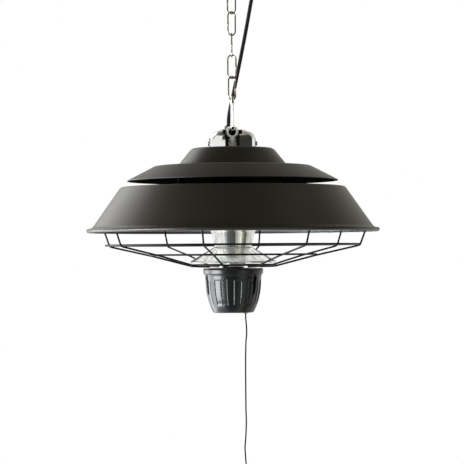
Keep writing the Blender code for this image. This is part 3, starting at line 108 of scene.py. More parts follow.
class Finish:
    """A material: its constants sit on the shader, and node() adds what varies."""

    def __init__(self, name, colour, roughness, metallic=0.0, **constants):
        self.material = bpy.data.materials.new(name)
        self.material.use_nodes = True
        self.tree = self.material.node_tree
        self.shader = self.tree.nodes["Principled BSDF"]
        constants.update({"Base_Color": rgba(colour), "Roughness": roughness, "Metallic": metallic})
        for socket, value in constants.items():
            self.shader.inputs[socket.replace("_", " ")].default_value = value
        self.place = self.node("ShaderNodeTexCoord", {}, {}, "Object")

    def node(self, kind, settings, sockets, output=0):
        """Adds a node with its settings first, then the values or links of its sockets."""
        node = self.tree.nodes.new(kind)
        for setting, value in settings.items():
            setattr(node, setting, value)
        for socket, value in sockets.items():
            fill(self.tree, node.inputs[socket], value)
        return Value(self.tree, node.outputs[output])

    def noise(self, scale, detail=3.0, stretch=(1.0, 1.0, 1.0)):
        """A noise pattern in the piece's own space, in features per metre."""
        spot = self.node("ShaderNodeMapping", {}, {"Vector": self.place, "Scale": stretch})
        return self.node("ShaderNodeTexNoise", {}, {"Vector": spot, "Scale": scale, "Detail": detail})

    def mixed(self, share, first, second):
        """A colour between two others."""
        sockets = {0: share, 6: rgba(first), 7: rgba(second)}
        return self.node("ShaderNodeMix", {"data_type": "RGBA"}, sockets, 2)

    def drive(self, socket, value):
        fill(self.tree, self.shader.inputs[socket], value)

    def gloss(self, low, spread, *noise):
        """A roughness that varies with a noise pattern."""
        self.drive("Roughness", low + spread * self.noise(*noise))
        return self

    def bump(self, height, strength, depth):
        """Raises the surface by a pattern, as deep as the real relief."""
        relief = {"Strength": strength, "Distance": depth, "Height": height}
        self.drive("Normal", self.node("ShaderNodeBump", {}, relief))

    def show(self, look):
        """Sets another look than the plain shader on the surface."""
        fill(self.tree, self.tree.nodes["Material Output"].inputs["Surface"], look)


def compass(angle_deg, rise_deg=0.0):
    """A direction, from the camera side towards the right, and up."""
    turn, rise = math.radians(angle_deg), math.radians(rise_deg)
    return Vector((math.sin(turn) * math.cos(rise), -math.cos(turn) * math.cos(rise), math.sin(rise)))


def deselect():
    bpy.ops.object.select_all(action="DESELECT")


deselect()
bpy.ops.object.camera_add(location=CAMERA_PLACE)
camera = bpy.context.object
look = (CAMERA_AIM - CAMERA_PLACE).to_track_quat("-Z", "Y").to_matrix()
roll = Matrix.Rotation(math.radians(CAMERA_ROLL_DEG), 3, "Z")
camera.rotation_euler = (look @ roll).to_euler()
camera.data.lens = CAMERA_LENS
camera.data.clip_end = CAMERA_REACH
bpy.context.scene.camera = camera
bpy.context.scene.view_settings.view_transform = "Standard"


def seen_share(tree):
    """One for the camera's own rays and for those of gloss and glass, else nothing."""
    path = tree.nodes.new("ShaderNodeLightPath")
    camera_ray, glossy, through = (Value(tree, path.outputs[name]) for name in
                                   ("Is Camera Ray", "Is Glossy Ray", "Is Transmission Ray"))
    return (camera_ray + glossy + through).joined("MINIMUM", 1.0)


world = bpy.data.worlds.new("studio_surround")
world.use_nodes = True
bpy.context.scene.world = world
surround = world.node_tree.nodes["Background"]
surround.inputs["Color"].default_value = rgba(1.0)
sky_strength = SKY_LIGHT + (1.0 - SKY_LIGHT) * seen_share(world.node_tree)
fill(world.node_tree, surround.inputs["Strength"], sky_strength)

deselect()
bpy.ops.mesh.primitive_plane_add(size=FLOOR_SIZE, location=(0.0, 0.0, FLOOR_LEVEL))
floor = bpy.context.object
floor.name = "studio_floor"
paper = Finish("studio_paper", 0.86, 0.9)
matt = Value(paper.tree, paper.shader.outputs[0])
glow = paper.node("ShaderNodeEmission", {}, {"Strength": FLOOR_GLOW})
glow_share = FLOOR_GLOW_SHARE * seen_share(paper.tree)
glowing = paper.node("ShaderNodeMixShader", {}, {0: glow_share, 1: matt, 2: glow})
clear = paper.node("ShaderNodeBsdfTransparent", {}, {})
below = paper.node("ShaderNodeNewGeometry", {}, {}, "Backfacing")
paper.show(paper.node("ShaderNodeMixShader", {}, {0: below, 1: glowing, 2: clear}))
floor.data.materials.append(paper.material)

lamp_linking = bpy.data.collections.new("softbox_receivers")


def kept_from_softboxes(piece):
    """The bare aluminium under the shade takes its light from the surround alone."""
    lamp_linking.objects.link(piece)
    for entry in lamp_linking.collection_objects:
        entry.light_linking.link_state = "EXCLUDE"


def softbox(name, angle, rise, distance, width, height, power, tint):
    """A soft lamp that faces the heater."""
    place = LAMP_AIM + compass(angle, rise) * distance
    bpy.ops.object.light_add(type="AREA", location=place)
    lamp = bpy.context.object
    lamp.name = name
    lamp.data.shape = "RECTANGLE"
    lamp.data.size = width
    lamp.data.size_y = height
    lamp.data.energy = power
    lamp.data.color = tint
    lamp.rotation_euler = (LAMP_AIM - place).to_track_quat("-Z", "Y").to_euler()
    lamp.visible_camera = False
    lamp.light_linking.receiver_collection = lamp_linking


softbox("softbox_left", -70.0, -14.5, 1.95, 1.3, 1.2, 74.0, (1.0, 1.0, 1.0))
softbox("softbox_far_left", -116.0, -16.0, 1.95, 1.5, 1.5, 38.0, (0.97, 0.99, 1.0))
softbox("softbox_back_left", -136.0, 27.0, 2.6, 1.6, 1.5, 17.0, (1.0, 1.0, 1.0))
softbox("softbox_right", 46.0, 12.0, 2.8, 0.9, 1.6, 16.0, (1.0, 0.97, 0.86))
bpy.context.object.visible_glossy = False


def card(name, angles, rises, low, high=None, distance=CARD_DISTANCE):
    """A curved card between two angles and two rises, seen by reflections alone, shaded from foot to top."""
    deselect()
    bpy.ops.mesh.primitive_grid_add(x_subdivisions=24, y_subdivisions=12, size=1.0)
    sheet = bpy.context.object
    sheet.name = name
    for point in sheet.data.vertices:
        angle = angles[0] + (angles[1] - angles[0]) * (point.co.x + 0.5)
        rise = rises[0] + (rises[1] - rises[0]) * (point.co.y + 0.5)
        point.co = Vector((0.0, 0.0, CAMERA_PLACE.z)) + compass(angle, rise) * distance
    board = Finish(name, low, 1.0)
    chart = board.node("ShaderNodeTexCoord", {}, {}, "UV")
    share = board.node("ShaderNodeSeparateXYZ", {}, {0: chart}, 1)
    board.show(board.node("ShaderNodeEmission", {}, {"Color": board.mixed(share, low, high or low)}))
    sheet.data.materials.append(board.material)
    sheet.visible_camera = False
    sheet.visible_diffuse = False
    sheet.visible_transmission = False
    sheet.visible_shadow = False


for number, (start, end, colour) in enumerate((
        (-50, -36, (0.50, 0.52, 0.53)), (-36, -18, (0.125, 0.140, 0.135)), (-18, 0, (0.095, 0.102, 0.092)),
        (0, 14, (0.060, 0.065, 0.055)), (14, 31, (0.42, 0.43, 0.39)), (31, 53, (0.94, 0.96, 0.84)),
        (53, 67, (0.26, 0.27, 0.21)), (67, 82, (0.10, 0.105, 0.08)), (82, 102, (0.70, 0.71, 0.63)),
        (102, 125, (0.77, 0.78, 0.73)), (125, 150, (0.90, 0.90, 0.88)))):
    card(f"card_low_{number}", (start, end), LOW_CARD_RISES, colour, distance=LOW_CARD_DISTANCE)
for row in (
        ("card_front", (-52.0, 18.0), (8.3, 62.0), (0.045, 0.042, 0.030)),
        ("card_right", (18.0, 116.0), (4.0, 36.0), (0.038, 0.038, 0.036), (0.05, 0.05, 0.045)),
        ("card_right_top", (18.0, 116.0), (36.0, 62.0), (0.05, 0.05, 0.045), (0.50, 0.49, 0.40)),
        ("card_left", (-98.0, -52.0), (38.0, 62.0), 0.20, 0.06),
        ("card_left_back", (-158.0, -98.0), (8.0, 62.0), (0.66, 0.66, 0.64), (0.10, 0.10, 0.09)),
        ("card_back_middle", (158.0, 202.0), (8.0, 54.0), (0.96, 0.94, 0.86), (0.115, 0.11, 0.09)),
        ("card_back_middle_top", (158.0, 202.0), (54.0, 62.0), (0.11, 0.105, 0.085), (0.07, 0.07, 0.055)),
        ("card_back", (116.0, 158.0), (8.0, 62.0), (0.84, 0.82, 0.73), (0.13, 0.12, 0.09)),
        ("card_back_foot", (146.0, 214.0), (3.0, 8.0), (0.22, 0.22, 0.21)),
        ("card_overhead", (-180.0, 180.0), (62.0, 89.5), (0.06, 0.06, 0.05))):
    card(*row)

# The ceiling plate: a pressed zinc-plated disc with a threaded boss, held by two pan-head screws.
# It is out of the photo's sight inside the rose.
PLATE_SCREW_PLACE = 0.032
PLATE_THICKNESS = 0.003


def eased(corners, closed, steps=5):
    """Points along straight runs, with each corner drawn as a short curve. A corner is (point, rounding)."""
    points = []
    count = len(corners)
    for index, (here, ease) in enumerate(corners):
        here = Vector(here)
        at_end = not closed and index in (0, count - 1)
        if at_end or not ease:
            points.append(here)
            continue
        before = Vector(corners[index - 1][0]) - here
        after = Vector(corners[(index + 1) % count][0]) - here
        start = here + before.normalized() * min(ease, before.length / 2)
        end = here + after.normalized() * min(ease, after.length / 2)
        for step in range(steps + 1):
            share = step / steps
            points.append(start.lerp(here, share).lerp(here.lerp(end, share), share))
    return points


def drawn(name, points, closed=False):
    """A line drawn by extruding one corner from point to point."""
    deselect()
    bpy.ops.mesh.primitive_plane_add(size=0.001)
    piece = bpy.context.object
    piece.name = name
    bpy.ops.object.mode_set(mode="EDIT")
    bpy.ops.mesh.merge(type="CENTER")
    bpy.ops.transform.translate(value=points[0])
    route = list(points) + [points[0]] if closed else list(points)
    for here, there in zip(route, route[1:]):
        bpy.ops.mesh.extrude_region_move(TRANSFORM_OT_translate={"value": there - here})
    bpy.ops.mesh.select_all(action="SELECT")
    bpy.ops.mesh.remove_doubles(threshold=0.00001)
    bpy.ops.object.mode_set(mode="OBJECT")
    return piece


def sealed(piece, reach):
    """Merges the corners of the mesh in edit mode that coincide, and turns its faces outwards."""
    bpy.ops.mesh.select_all(action="SELECT")
    bpy.ops.mesh.remove_doubles(threshold=reach)
    bpy.ops.mesh.normals_make_consistent(inside=False)
    bpy.ops.object.mode_set(mode="OBJECT")
    return piece


def profile(line, level=0.0):
    """Corners from a line of (radius, height) or (radius, height, rounding), its heights over a level."""
    return [((radius, 0.0, level + height), *(ease or (0.0,))) for radius, height, *ease in line]


def turned(name, line, sides=96, closed=True, steps=5, level=0.0):
    """A turned piece: its profile is drawn, then spun round the upright axis."""
    piece = drawn(name, eased(profile(line, level), closed, steps), closed)
    bpy.ops.object.mode_set(mode="EDIT")
    bpy.ops.mesh.select_all(action="SELECT")
    bpy.ops.mesh.spin(steps=sides, angle=math.tau, center=(0.0, 0.0, 0.0), axis=(0.0, 0.0, 1.0))
    return sealed(piece, 0.00001)


def rod(name, radius, low, high, sides=48, ease=0.0):
    """A plain upright rod."""
    line = [(0.0, low), (radius, low, ease), (radius, high, ease), (0.0, high)]
    return turned(name, line, sides, closed=False)


def chosen(piece):
    """Makes a piece the only selected one."""
    deselect()
    piece.select_set(True)
    bpy.context.view_layer.objects.active = piece


def set_in_place(piece, place=(0.0, 0.0, 0.0), turn_deg=(0.0, 0.0, 0.0)):
    """Moves and turns a piece, then keeps its place in its mesh."""
    chosen(piece)
    piece.location = place
    piece.rotation_euler = [math.radians(angle) for angle in turn_deg]
    bpy.ops.object.transform_apply()
    return piece


def dressed(piece, finish, slot, *nodes, body="heater", smooth_deg=38.0):
    """Gives a piece its finish, says what it rides on if it doesn't bend, and hides the solids it stands for;
    its slot is not used.
    """
    chosen(piece)
    piece.data.materials.clear()
    piece.data.materials.append(finish.material)
    bpy.ops.object.shade_smooth_by_angle(angle=math.radians(smooth_deg))
    if body:
        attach(piece, body)
    if nodes:
        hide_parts(*nodes)
    return piece


def refinish(node, finish):
    """A better material on a solid that stays."""
    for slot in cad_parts[node].material_slots:
        slot.material = finish.material


def block(name, size, edge, segments=2):
    """A block with bevelled edges, centred on the origin."""
    deselect()
    bpy.ops.mesh.primitive_cube_add(size=1.0)
    piece = bpy.context.object
    piece.name = name
    piece.scale = size
    bpy.ops.object.transform_apply()
    bpy.ops.object.mode_set(mode="EDIT")
    bpy.ops.mesh.select_all(action="SELECT")
    bpy.ops.mesh.bevel(offset=edge, segments=segments, affect="EDGES")
    bpy.ops.object.mode_set(mode="OBJECT")
    return piece


def worked(piece, kind, **settings):
    """Works a piece's mesh with a modifier."""
    step = piece.modifiers.new("step", kind)
    for setting, value in settings.items():
        setattr(step, setting, value)
    chosen(piece)
    bpy.ops.object.modifier_apply(modifier=step.name)


def cut(piece, tool, operation="DIFFERENCE"):
    """Cuts one piece with another, or joins it on, and throws the tool away."""
    worked(piece, "BOOLEAN", operation=operation, solver="EXACT", object=tool)
    bpy.data.objects.remove(tool, do_unlink=True)


def fuse(piece, tool):
    cut(piece, tool, "UNION")


def pan_screw(name, head_radius, head_height, shank_radius, shank_length):
    """A pan-head screw under its own origin, head down, with a cross cut into the head."""
    line = [(0.0, -head_height), (head_radius * 0.7, -head_height * 0.9, head_radius * 0.3),
            (head_radius, -head_height * 0.35, head_height * 0.3), (head_radius, 0.0), (shank_radius, 0.0),
            (shank_radius, shank_length, 0.0002), (0.0, shank_length)]
    screw = turned(name, line, 40, closed=False)
    for quarter_deg in (0.0, 90.0):
        slit = block("slit", (head_radius * 1.1, head_radius * 0.24, head_height * 1.2), head_radius * 0.05)
        cut(screw, set_in_place(slit, (0.0, 0.0, -head_height), (0.0, 0.0, quarter_deg)))
    return screw


zinc_plate = Finish("plated_steel", (0.42, 0.42, 0.41), 0.34, 1.0)
spangle = zinc_plate.noise(160.0, 4.0)
zinc_plate.drive("Roughness", 0.26 + 0.2 * spangle)
zinc_plate.drive("Base Color", zinc_plate.mixed(spangle, 0.36, (0.52, 0.52, 0.50)))
zinc_plate.bump(zinc_plate.noise(900.0), 0.15, 0.0002)
refinish("ceiling_plate", zinc_plate)
for word, side in (("front", -1), ("back", 1)):
    screw = pan_screw(f"ceiling_screw_{word}", 0.0042, 0.0024, 0.0021, PLATE_THICKNESS - 0.0002)
    set_in_place(screw, (0.0, side * PLATE_SCREW_PLACE, -PLATE_THICKNESS - 0.0001))
    dressed(screw, zinc_plate, "zinc", body="ceiling_fitting")

# The ceiling rose: a spun steel cup in the shade's own dark paint, drawn up over the plate.
# Its underside is bored beside the middle for the supply cable.
ROSE_RADIUS = 0.055
ROSE_DEPTH = 0.022
ROSE_WALL = 0.0016
CABLE_EXIT = Vector((0.041, 0.012, -ROSE_DEPTH))
BUSH_NECK_RADIUS = 0.00505


def walled(line, wall, edge=0.35, level=0.0):
    """A sheet's whole outline from the profile of its outer side, its wall on the right."""
    outer = eased(profile(line, level), False)
    slopes = [(there - here).normalized() for here, there in zip(outer, outer[1:])]
    inner = []
    for index, point in enumerate(outer):
        first = slopes[max(index - 1, 0)]
        second = slopes[min(index, len(slopes) - 1)]
        mitre = 1.0 + first.dot(second)
        inner.append(point + Vector((first.z + second.z, 0.0, -first.x - second.x)) * (wall / mitre))
    far_end = (outer[-1] + inner[-1]) / 2 + slopes[-1] * wall * edge
    near_end = (outer[0] + inner[0]) / 2 - slopes[0] * wall * edge
    return [(point.x, point.z) for point in outer + [far_end] + inner[::-1] + [near_end]]


paint = Finish("dark_satin_paint", (0.0135, 0.0112, 0.0062), 0.42, Specular_IOR_Level=0.5)
fleck = paint.noise(1400.0, 2.0)
cloud = paint.noise(7.0, 4.0)
paint.drive("Roughness", 0.33 + 0.06 * cloud + 0.05 * fleck)
paint.drive("Base Color", paint.mixed(cloud, (0.0122, 0.0102, 0.0054), (0.0155, 0.0128, 0.0072)))
paint.bump(fleck, 0.12, 0.0002)
rose_line = [(ROSE_RADIUS, -0.0007), (ROSE_RADIUS, -ROSE_DEPTH, 0.005), (0.0066, -ROSE_DEPTH)]
rose = turned("rose_cup", walled(rose_line, ROSE_WALL), 128)
cut(rose, set_in_place(rod("bore", BUSH_NECK_RADIUS + 0.0003, -0.004, 0.004), CABLE_EXIT))
dressed(rose, paint, "dark_paint", "ceiling_rose", body="ceiling_fitting")

# The screw hook: round zinc-plated wire, its shank threaded up into the boss and its bowl left open.
HOOK_WIRE = 0.005
HOOK_CONTACT = -0.0494
HOOK_INNER_RADIUS = 0.009
HOOK_COMPASS_DEG = 160.0
THREAD_COUNT = 7
THREAD_TOP = -0.0108
THREAD_PITCH = 0.0016
UP = Vector((0.0, 0.0, 1.0))
RIGHT = Vector((1.0, 0.0, 0.0))


def round_curve(name, points, thickness, closed=False, roundness=4):
    """A line of points as a curve with a round section."""
    piece = drawn(name, points, closed)
    bpy.ops.object.convert(target="CURVE")
    piece.data.bevel_depth = thickness / 2
    piece.data.bevel_resolution = roundness
    piece.data.use_fill_caps = not closed
    return piece


def meshed(curve):
    """The active curve as a mesh."""
    bpy.ops.object.convert(target="MESH")
    bpy.ops.object.mode_set(mode="EDIT")
    return sealed(curve, 0.000005)


def wire(name, points, thickness, closed=False, roundness=4):
    return meshed(round_curve(name, points, thickness, closed, roundness))


def arc(centre, radius, start_deg, end_deg, steps, across=RIGHT):
    """Points round a circle in the upright plane of a direction, ends included."""
    angles = [math.radians(start_deg + (end_deg - start_deg) * step / steps) for step in range(steps + 1)]
    return [Vector(centre) + across * (radius * math.cos(angle)) + UP * (radius * math.sin(angle))
            for angle in angles]


def plated(name, dull, bright, roughness):
    """Zinc plating with its cloudy bloom."""
    plating = Finish(name, bright, roughness, 1.0)
    bloom = plating.noise(260.0, 5.0)
    plating.drive("Roughness", roughness + 0.12 * bloom)
    plating.drive("Base Color", plating.mixed(bloom, dull, bright))
    plating.bump(plating.noise(1200.0, 2.0), 0.05, 0.0001)
    return plating


zinc = plated("bright_zinc", (0.84, 0.82, 0.76), (0.98, 0.97, 0.94), 0.05)
hook_radius = HOOK_INNER_RADIUS + HOOK_WIRE / 2
hook_centre = UP * (HOOK_CONTACT + HOOK_INNER_RADIUS)
bowl = arc(hook_centre, hook_radius, 55.0, -200.0, 48, compass(HOOK_COMPASS_DEG))
bend = hook_centre + UP * hook_radius
neck = eased([(bend + UP * (HOOK_WIRE / 2), 0.0), (bend, 0.004), (bowl[0], 0.0)], False, 8)
hook = wire("screw_hook", [UP * -0.010] + neck[:-1] + bowl, HOOK_WIRE, roundness=6)
for index in range(THREAD_COUNT):
    thread = [(0.0022, -0.0007), (0.00272, 0.0, 0.0002), (0.0022, 0.0007)]
    fuse(hook, turned("thread", thread, 32, level=THREAD_TOP - index * THREAD_PITCH))
collar_line = [(0.0023, -0.0242), (0.0062, -0.0242, 0.0005), (0.0062, -0.0225, 0.0005), (0.0023, -0.0225)]
fuse(hook, turned("collar", collar_line, 48))
dressed(hook, zinc, "zinc", "ceiling_hook", body="ceiling_fitting")

# The rose's bush: a soft black grommet that keeps the cable off the cup's edge.
bush_rubber = Finish("grommet_rubber", 0.014, 0.6)
bush_rubber.bump(bush_rubber.noise(1500.0), 0.2, 0.0001)
bush_line = [(0.00385, -0.002, 0.0004), (0.0062, -0.002, 0.0006), (0.007, -0.0003, 0.0003),
             (BUSH_NECK_RADIUS, -0.0003), (BUSH_NECK_RADIUS, 0.0028, 0.0005), (0.00385, 0.0028, 0.0004)]
bush = set_in_place(turned("rose_grommet", bush_line, 64), CABLE_EXIT)
dressed(bush, bush_rubber, "black_plastic", "rose_cable_bush", body="ceiling_fitting")

# The chain: welded links of 2.6 mm plated wire, each with a small weld in its side.
# One link is bent up and copied, and each copy hangs in its own plane.
LINK_WIRE = 0.0026
LINK_WIDTH = 0.017
LINK_PITCH = 0.0369
LINK_PLANES_DEG = (-20.0, 30.0, 90.0, 165.0, 215.0)
LINK_GAP = 0.0003
WELD_HALF = 0.001
WELD_SWELL = 1.22


def bent_link(name):
    """One link in the plane of X, with the inside of its upper bow at the origin."""
    bow = (LINK_WIDTH - LINK_WIRE) / 2
    top = LINK_GAP / 2 + LINK_WIRE / 2
    bottom = -LINK_PITCH - top
    middle = (top + bottom) / 2
    points = arc(UP * (top - bow), bow, 0.0, 180.0, 24)
    for rise in (0.002, 0.0008, 0.0003, -0.0003, -0.0008, -0.002):
        points.append(Vector((-bow, 0.0, middle + rise)))
    points += arc(UP * (bottom + bow), bow, 180.0, 360.0, 24)
    link = round_curve(name, points, LINK_WIRE, closed=True, roundness=5)
    for knot in link.data.splines[0].points:
        if knot.co.x < 0.0 and abs(knot.co.z - middle) < WELD_HALF:
            knot.radius = WELD_SWELL
    return meshed(link)


def twin(piece, name):
    """A copy of a piece with a mesh of its own."""
    copied = piece.copy()
    copied.data = piece.data.copy()
    copied.name = name
    bpy.context.scene.collection.objects.link(copied)
    return copied


chain_zinc = plated("chain_zinc", (0.20, 0.18, 0.12), (0.38, 0.35, 0.27), 0.12)
first_link = bent_link("link_1_wire")
chain = [first_link] + [twin(first_link, f"link_{number}_wire") for number in (2, 3, 4, 5)]
for index, (link, angle) in enumerate(zip(chain, LINK_PLANES_DEG)):
    set_in_place(link, UP * (HOOK_CONTACT - index * LINK_PITCH), (0.0, 0.0, angle))
    dressed(link, chain_zinc, "zinc", f"chain_link_{index + 1}", body=f"link_{index + 1}")

# The snap hook: a pear of 5 mm wire with a sprung gate behind. The gate's fork straddles a flat tongue
# and turns on a riveted pin, and its nose closes on the hook's end.
SNAP_WIRE = 0.005
SNAP_TOP_RADIUS = 0.0105
SNAP_BOTTOM_RADIUS = 0.008
SNAP_PITCH = 0.0504
SNAP_PLANE_DEG = 94.0
GATE_RISE = 0.0065
GATE_LENGTH = 0.0265
GATE_TAIL = 0.0022
TONGUE = 0.0022
chain_end = HOOK_CONTACT - len(chain) * LINK_PITCH
eye_contact = chain_end - SNAP_PITCH
snap_high = UP * (chain_end + LINK_GAP / 2 + SNAP_WIRE / 2 - SNAP_TOP_RADIUS)
snap_low = UP * (eye_contact - LINK_GAP / 2 - SNAP_WIRE / 2 + SNAP_BOTTOM_RADIUS)
lean = math.asin((SNAP_TOP_RADIUS - SNAP_BOTTOM_RADIUS) / (snap_high - snap_low).length)
lean_deg = math.degrees(lean)
side_out = Vector((math.cos(lean), 0.0, -math.sin(lean)))
side_up = Vector((math.sin(lean), 0.0, math.cos(lean)))
gate_pivot = snap_low + side_out * SNAP_BOTTOM_RADIUS + side_up * GATE_RISE
snap_line = [gate_pivot + side_up * (GATE_LENGTH + 0.0005)]
snap_line += arc(snap_high, SNAP_TOP_RADIUS, -lean_deg, 180.0 + lean_deg, 40)
snap_line += arc(snap_low, SNAP_BOTTOM_RADIUS, 180.0 + lean_deg, 360.0 - lean_deg, 36)
snap_line.append(gate_pivot + side_up * 0.0025)
snap = wire("snap_hook_wire", snap_line, SNAP_WIRE, roundness=6)
for side in (-1, 1):
    flat = block("flat", (0.012, 0.006, 0.0088), 0.0006)
    centre = gate_pivot + side_up * 0.0012 + Vector((0.0, side * (TONGUE / 2 + 0.003), 0.0))
    cut(snap, set_in_place(flat, centre, (0.0, lean_deg, 0.0)))
pin_line = [(0.0, -0.00275), (0.0009, -0.0025, 0.0003), (0.0009, 0.0025, 0.0003), (0.0, 0.00275)]
fuse(snap, set_in_place(turned("pin", pin_line, 32, closed=False), gate_pivot, (90.0, 0.0, 0.0)))
set_in_place(snap, turn_deg=(0.0, 0.0, SNAP_PLANE_DEG))
dressed(snap, zinc, "zinc", "snap_hook", body="snap")

gate_line = [gate_pivot + side_up * rise for rise in (-GATE_TAIL, 0.004, GATE_LENGTH - 0.003, GATE_LENGTH)]
gate = wire("snap_gate_wire", gate_line, SNAP_WIRE, roundness=6)
fork = block("fork", (0.012, TONGUE + 0.0006, 0.012), 0.0003)
cut(gate, set_in_place(fork, gate_pivot - side_up * 0.0021, (0.0, lean_deg, 0.0)))
cut(gate, set_in_place(rod("hole", 0.0012, -0.004, 0.004, 32), gate_pivot, (90.0, 0.0, 0.0)))
set_in_place(gate, turn_deg=(0.0, 0.0, SNAP_PLANE_DEG))
dressed(gate, zinc, "zinc", "snap_hook_gate", body="gate")

# The supply cable: one round black rubber-sheathed flex beside the chain, from the rose down to the gland.
# It is cut in one stretch over each joint of the chain.
CABLE_DIAMETER = 0.0065
CABLE_ROUTE = (
    (0.0410, 0.0120, -0.0160), (0.0410, 0.0120, -0.0270), (0.0386, 0.0130, -0.0430),
    (0.0339, 0.0146, -0.0650), (0.0289, 0.0160, -0.0920), (0.0236, 0.0172, -0.1200),
    (0.0182, 0.0182, -0.1470), (0.0126, 0.0191, -0.1745), (0.0068, 0.0201, -0.2020),
    (0.0009, 0.0214, -0.2300), (-0.0029, 0.0227, -0.2460), (-0.0052, 0.0237, -0.2580),
    (-0.0064, 0.0244, -0.2690), (-0.0065, 0.0245, -0.2790), (-0.0065, 0.0245, -0.2962),
)
CABLE_BODIES = ("ceiling_fitting", "link_1", "link_2", "link_3", "link_4", "link_5", "snap", "heater")


def smooth_route(points, steps=12):
    """A dense line on a smooth curve through a route's points."""
    points = [Vector(point) for point in points]
    ends = [points[0] * 2 - points[1]] + points + [points[-1] * 2 - points[-2]]
    line = []
    for p0, p1, p2, p3 in zip(ends, ends[1:], ends[2:], ends[3:]):
        for step in range(steps):
            t = step / steps
            line.append((p1 * 2 + (p2 - p0) * t + (p0 * 2 - p1 * 5 + p2 * 4 - p3) * t ** 2
                         + (p1 * 3 - p0 - p2 * 3 + p3) * t ** 3) / 2)
    return line + [points[-1]]


def run_length(line):
    return sum((there - here).length for here, there in zip(line, line[1:]))


def even_points(line, start, end, count):
    """Evenly spaced points on a line, between two distances along it."""
    travelled = [0.0]
    for here, there in zip(line, line[1:]):
        travelled.append(travelled[-1] + (there - here).length)
    result = []
    for index in range(count):
        distance = start + (end - start) * index / (count - 1)
        step = next((i for i in range(1, len(line)) if travelled[i] >= distance), len(line) - 1)
        share = (distance - travelled[step - 1]) / (travelled[step] - travelled[step - 1])
        result.append(line[step - 1].lerp(line[step], share))
    return result


sheath = Finish("cable_sheath_rubber", 0.006, 0.5, Specular_IOR_Level=0.22).gloss(0.40, 0.22, 220.0, 4.0)
sheath.bump(sheath.noise(2200.0, 2.0), 0.15, 0.0001)
cable_line = smooth_route(CABLE_ROUTE)
stretch = run_length(cable_line) / (len(CABLE_BODIES) - 1)
for index, (upper_body, lower_body) in enumerate(zip(CABLE_BODIES, CABLE_BODIES[1:])):
    path = even_points(cable_line, index * stretch, (index + 1) * stretch, 25)
    flex = wire(f"flex_{index + 1}", path, CABLE_DIAMETER, roundness=8)
    dressed(flex, sheath, "cable_sheath", f"supply_cable_{index + 1}", body=None, smooth_deg=50.0)
    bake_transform(flex)

# The eye nut: a cast ring on a round base, plated like the snap hook.
# The ring runs into the base with a fillet.
EYE_WIRE = 0.005
EYE_HOLE = 0.012
EYE_BASE_RADIUS = 0.0065
EYE_BASE_HEIGHT = 0.009
EYE_BORE = 0.0043
MELT_GRAIN = 0.00038
eye_centre = eye_contact - EYE_HOLE / 2
eye_base_top = eye_centre - EYE_HOLE / 2 - EYE_WIRE / 2


def hoop(name, radius, thickness, sides, place, turn=(0.0, 0.0, 0.0)):
    """A ring of round wire. Its sides are counted along the ring, then round the wire."""
    deselect()
    bpy.ops.mesh.primitive_torus_add(major_radius=radius, minor_radius=thickness / 2, major_segments=sides[0],
                                     minor_segments=sides[1], location=place, rotation=turn)
    ring = bpy.context.object
    ring.name = name
    bpy.ops.object.transform_apply()
    return ring


eye_ring_radius = (EYE_HOLE + EYE_WIRE) / 2
eye = hoop("eye_nut_casting", eye_ring_radius, EYE_WIRE, (64, 24), UP * eye_centre, (math.pi / 2, 0.0, 0.0))
base_line = [(0.0, 0.0016), (0.003, 0.001, 0.001), (0.0042, -0.0022, 0.002),
             (EYE_BASE_RADIUS, -0.0045, 0.0012), (EYE_BASE_RADIUS, -EYE_BASE_HEIGHT, 0.0007),
             (EYE_BORE, -EYE_BASE_HEIGHT, 0.0003), (EYE_BORE, 0.005 - EYE_BASE_HEIGHT),
             (0.0, 0.005 - EYE_BASE_HEIGHT)]
fuse(eye, turned("base", base_line, 64, closed=False, level=eye_base_top))
worked(eye, "REMESH", mode="VOXEL", voxel_size=MELT_GRAIN)
worked(eye, "SMOOTH", factor=0.5, iterations=6)
cast_zinc = Finish("plated_casting", (0.95, 0.93, 0.86), 0.2, 0.3).gloss(0.14, 0.12, 260.0, 5.0)
cast_zinc.bump(cast_zinc.noise(1200.0, 2.0), 0.05, 0.0001)
dressed(eye, cast_zinc, "zinc", "eye_nut", smooth_deg=60.0)

# The stud stack: an M8 stud up through the crown with a chamfered hexagon nut and a thick washer.
NUT_RADIUS = 0.0075
STUD_HOLE = 0.0043
refinish("eye_stud", zinc)


def hexagon_nut(name, node, corner_radius, hole_radius, finish, slot, place=(0.0, 0.0, 0.0)):
    """A hexagon nut: a six-sided bar, its corners turned off both ends and its hole bored."""
    low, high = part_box(node)
    bottom, height = low.z, high.z - low.z
    deselect()
    bpy.ops.mesh.primitive_cylinder_add(vertices=6, radius=corner_radius, depth=height,
                                        location=(0.0, 0.0, bottom + height / 2))
    nut = bpy.context.object
    nut.name = name
    bpy.ops.object.transform_apply()
    fall = corner_radius * 0.16
    flat = corner_radius * 0.84
    reach = corner_radius * 1.02
    line = [(0.0, 0.0), (flat, 0.0), (reach, fall), (reach, height - fall), (flat, height), (0.0, height)]
    cut(nut, turned("barrel", line, closed=False, level=bottom), "INTERSECT")
    cut(nut, rod("bore", hole_radius, bottom - height, high.z + height))
    set_in_place(nut, place)
    dressed(nut, finish, slot, node, smooth_deg=20.0)


low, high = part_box("stud_washer")
washer_line = [(STUD_HOLE, low.z, 0.0002), (high.x, low.z, 0.0005), (high.x, high.z, 0.0005),
               (STUD_HOLE, high.z, 0.0002)]
dressed(turned("stud_washer_ring", washer_line), cast_zinc, "zinc", "stud_washer")
hexagon_nut("stud_nut_hexagon", "stud_nut", NUT_RADIUS, STUD_HOLE, cast_zinc, "zinc")

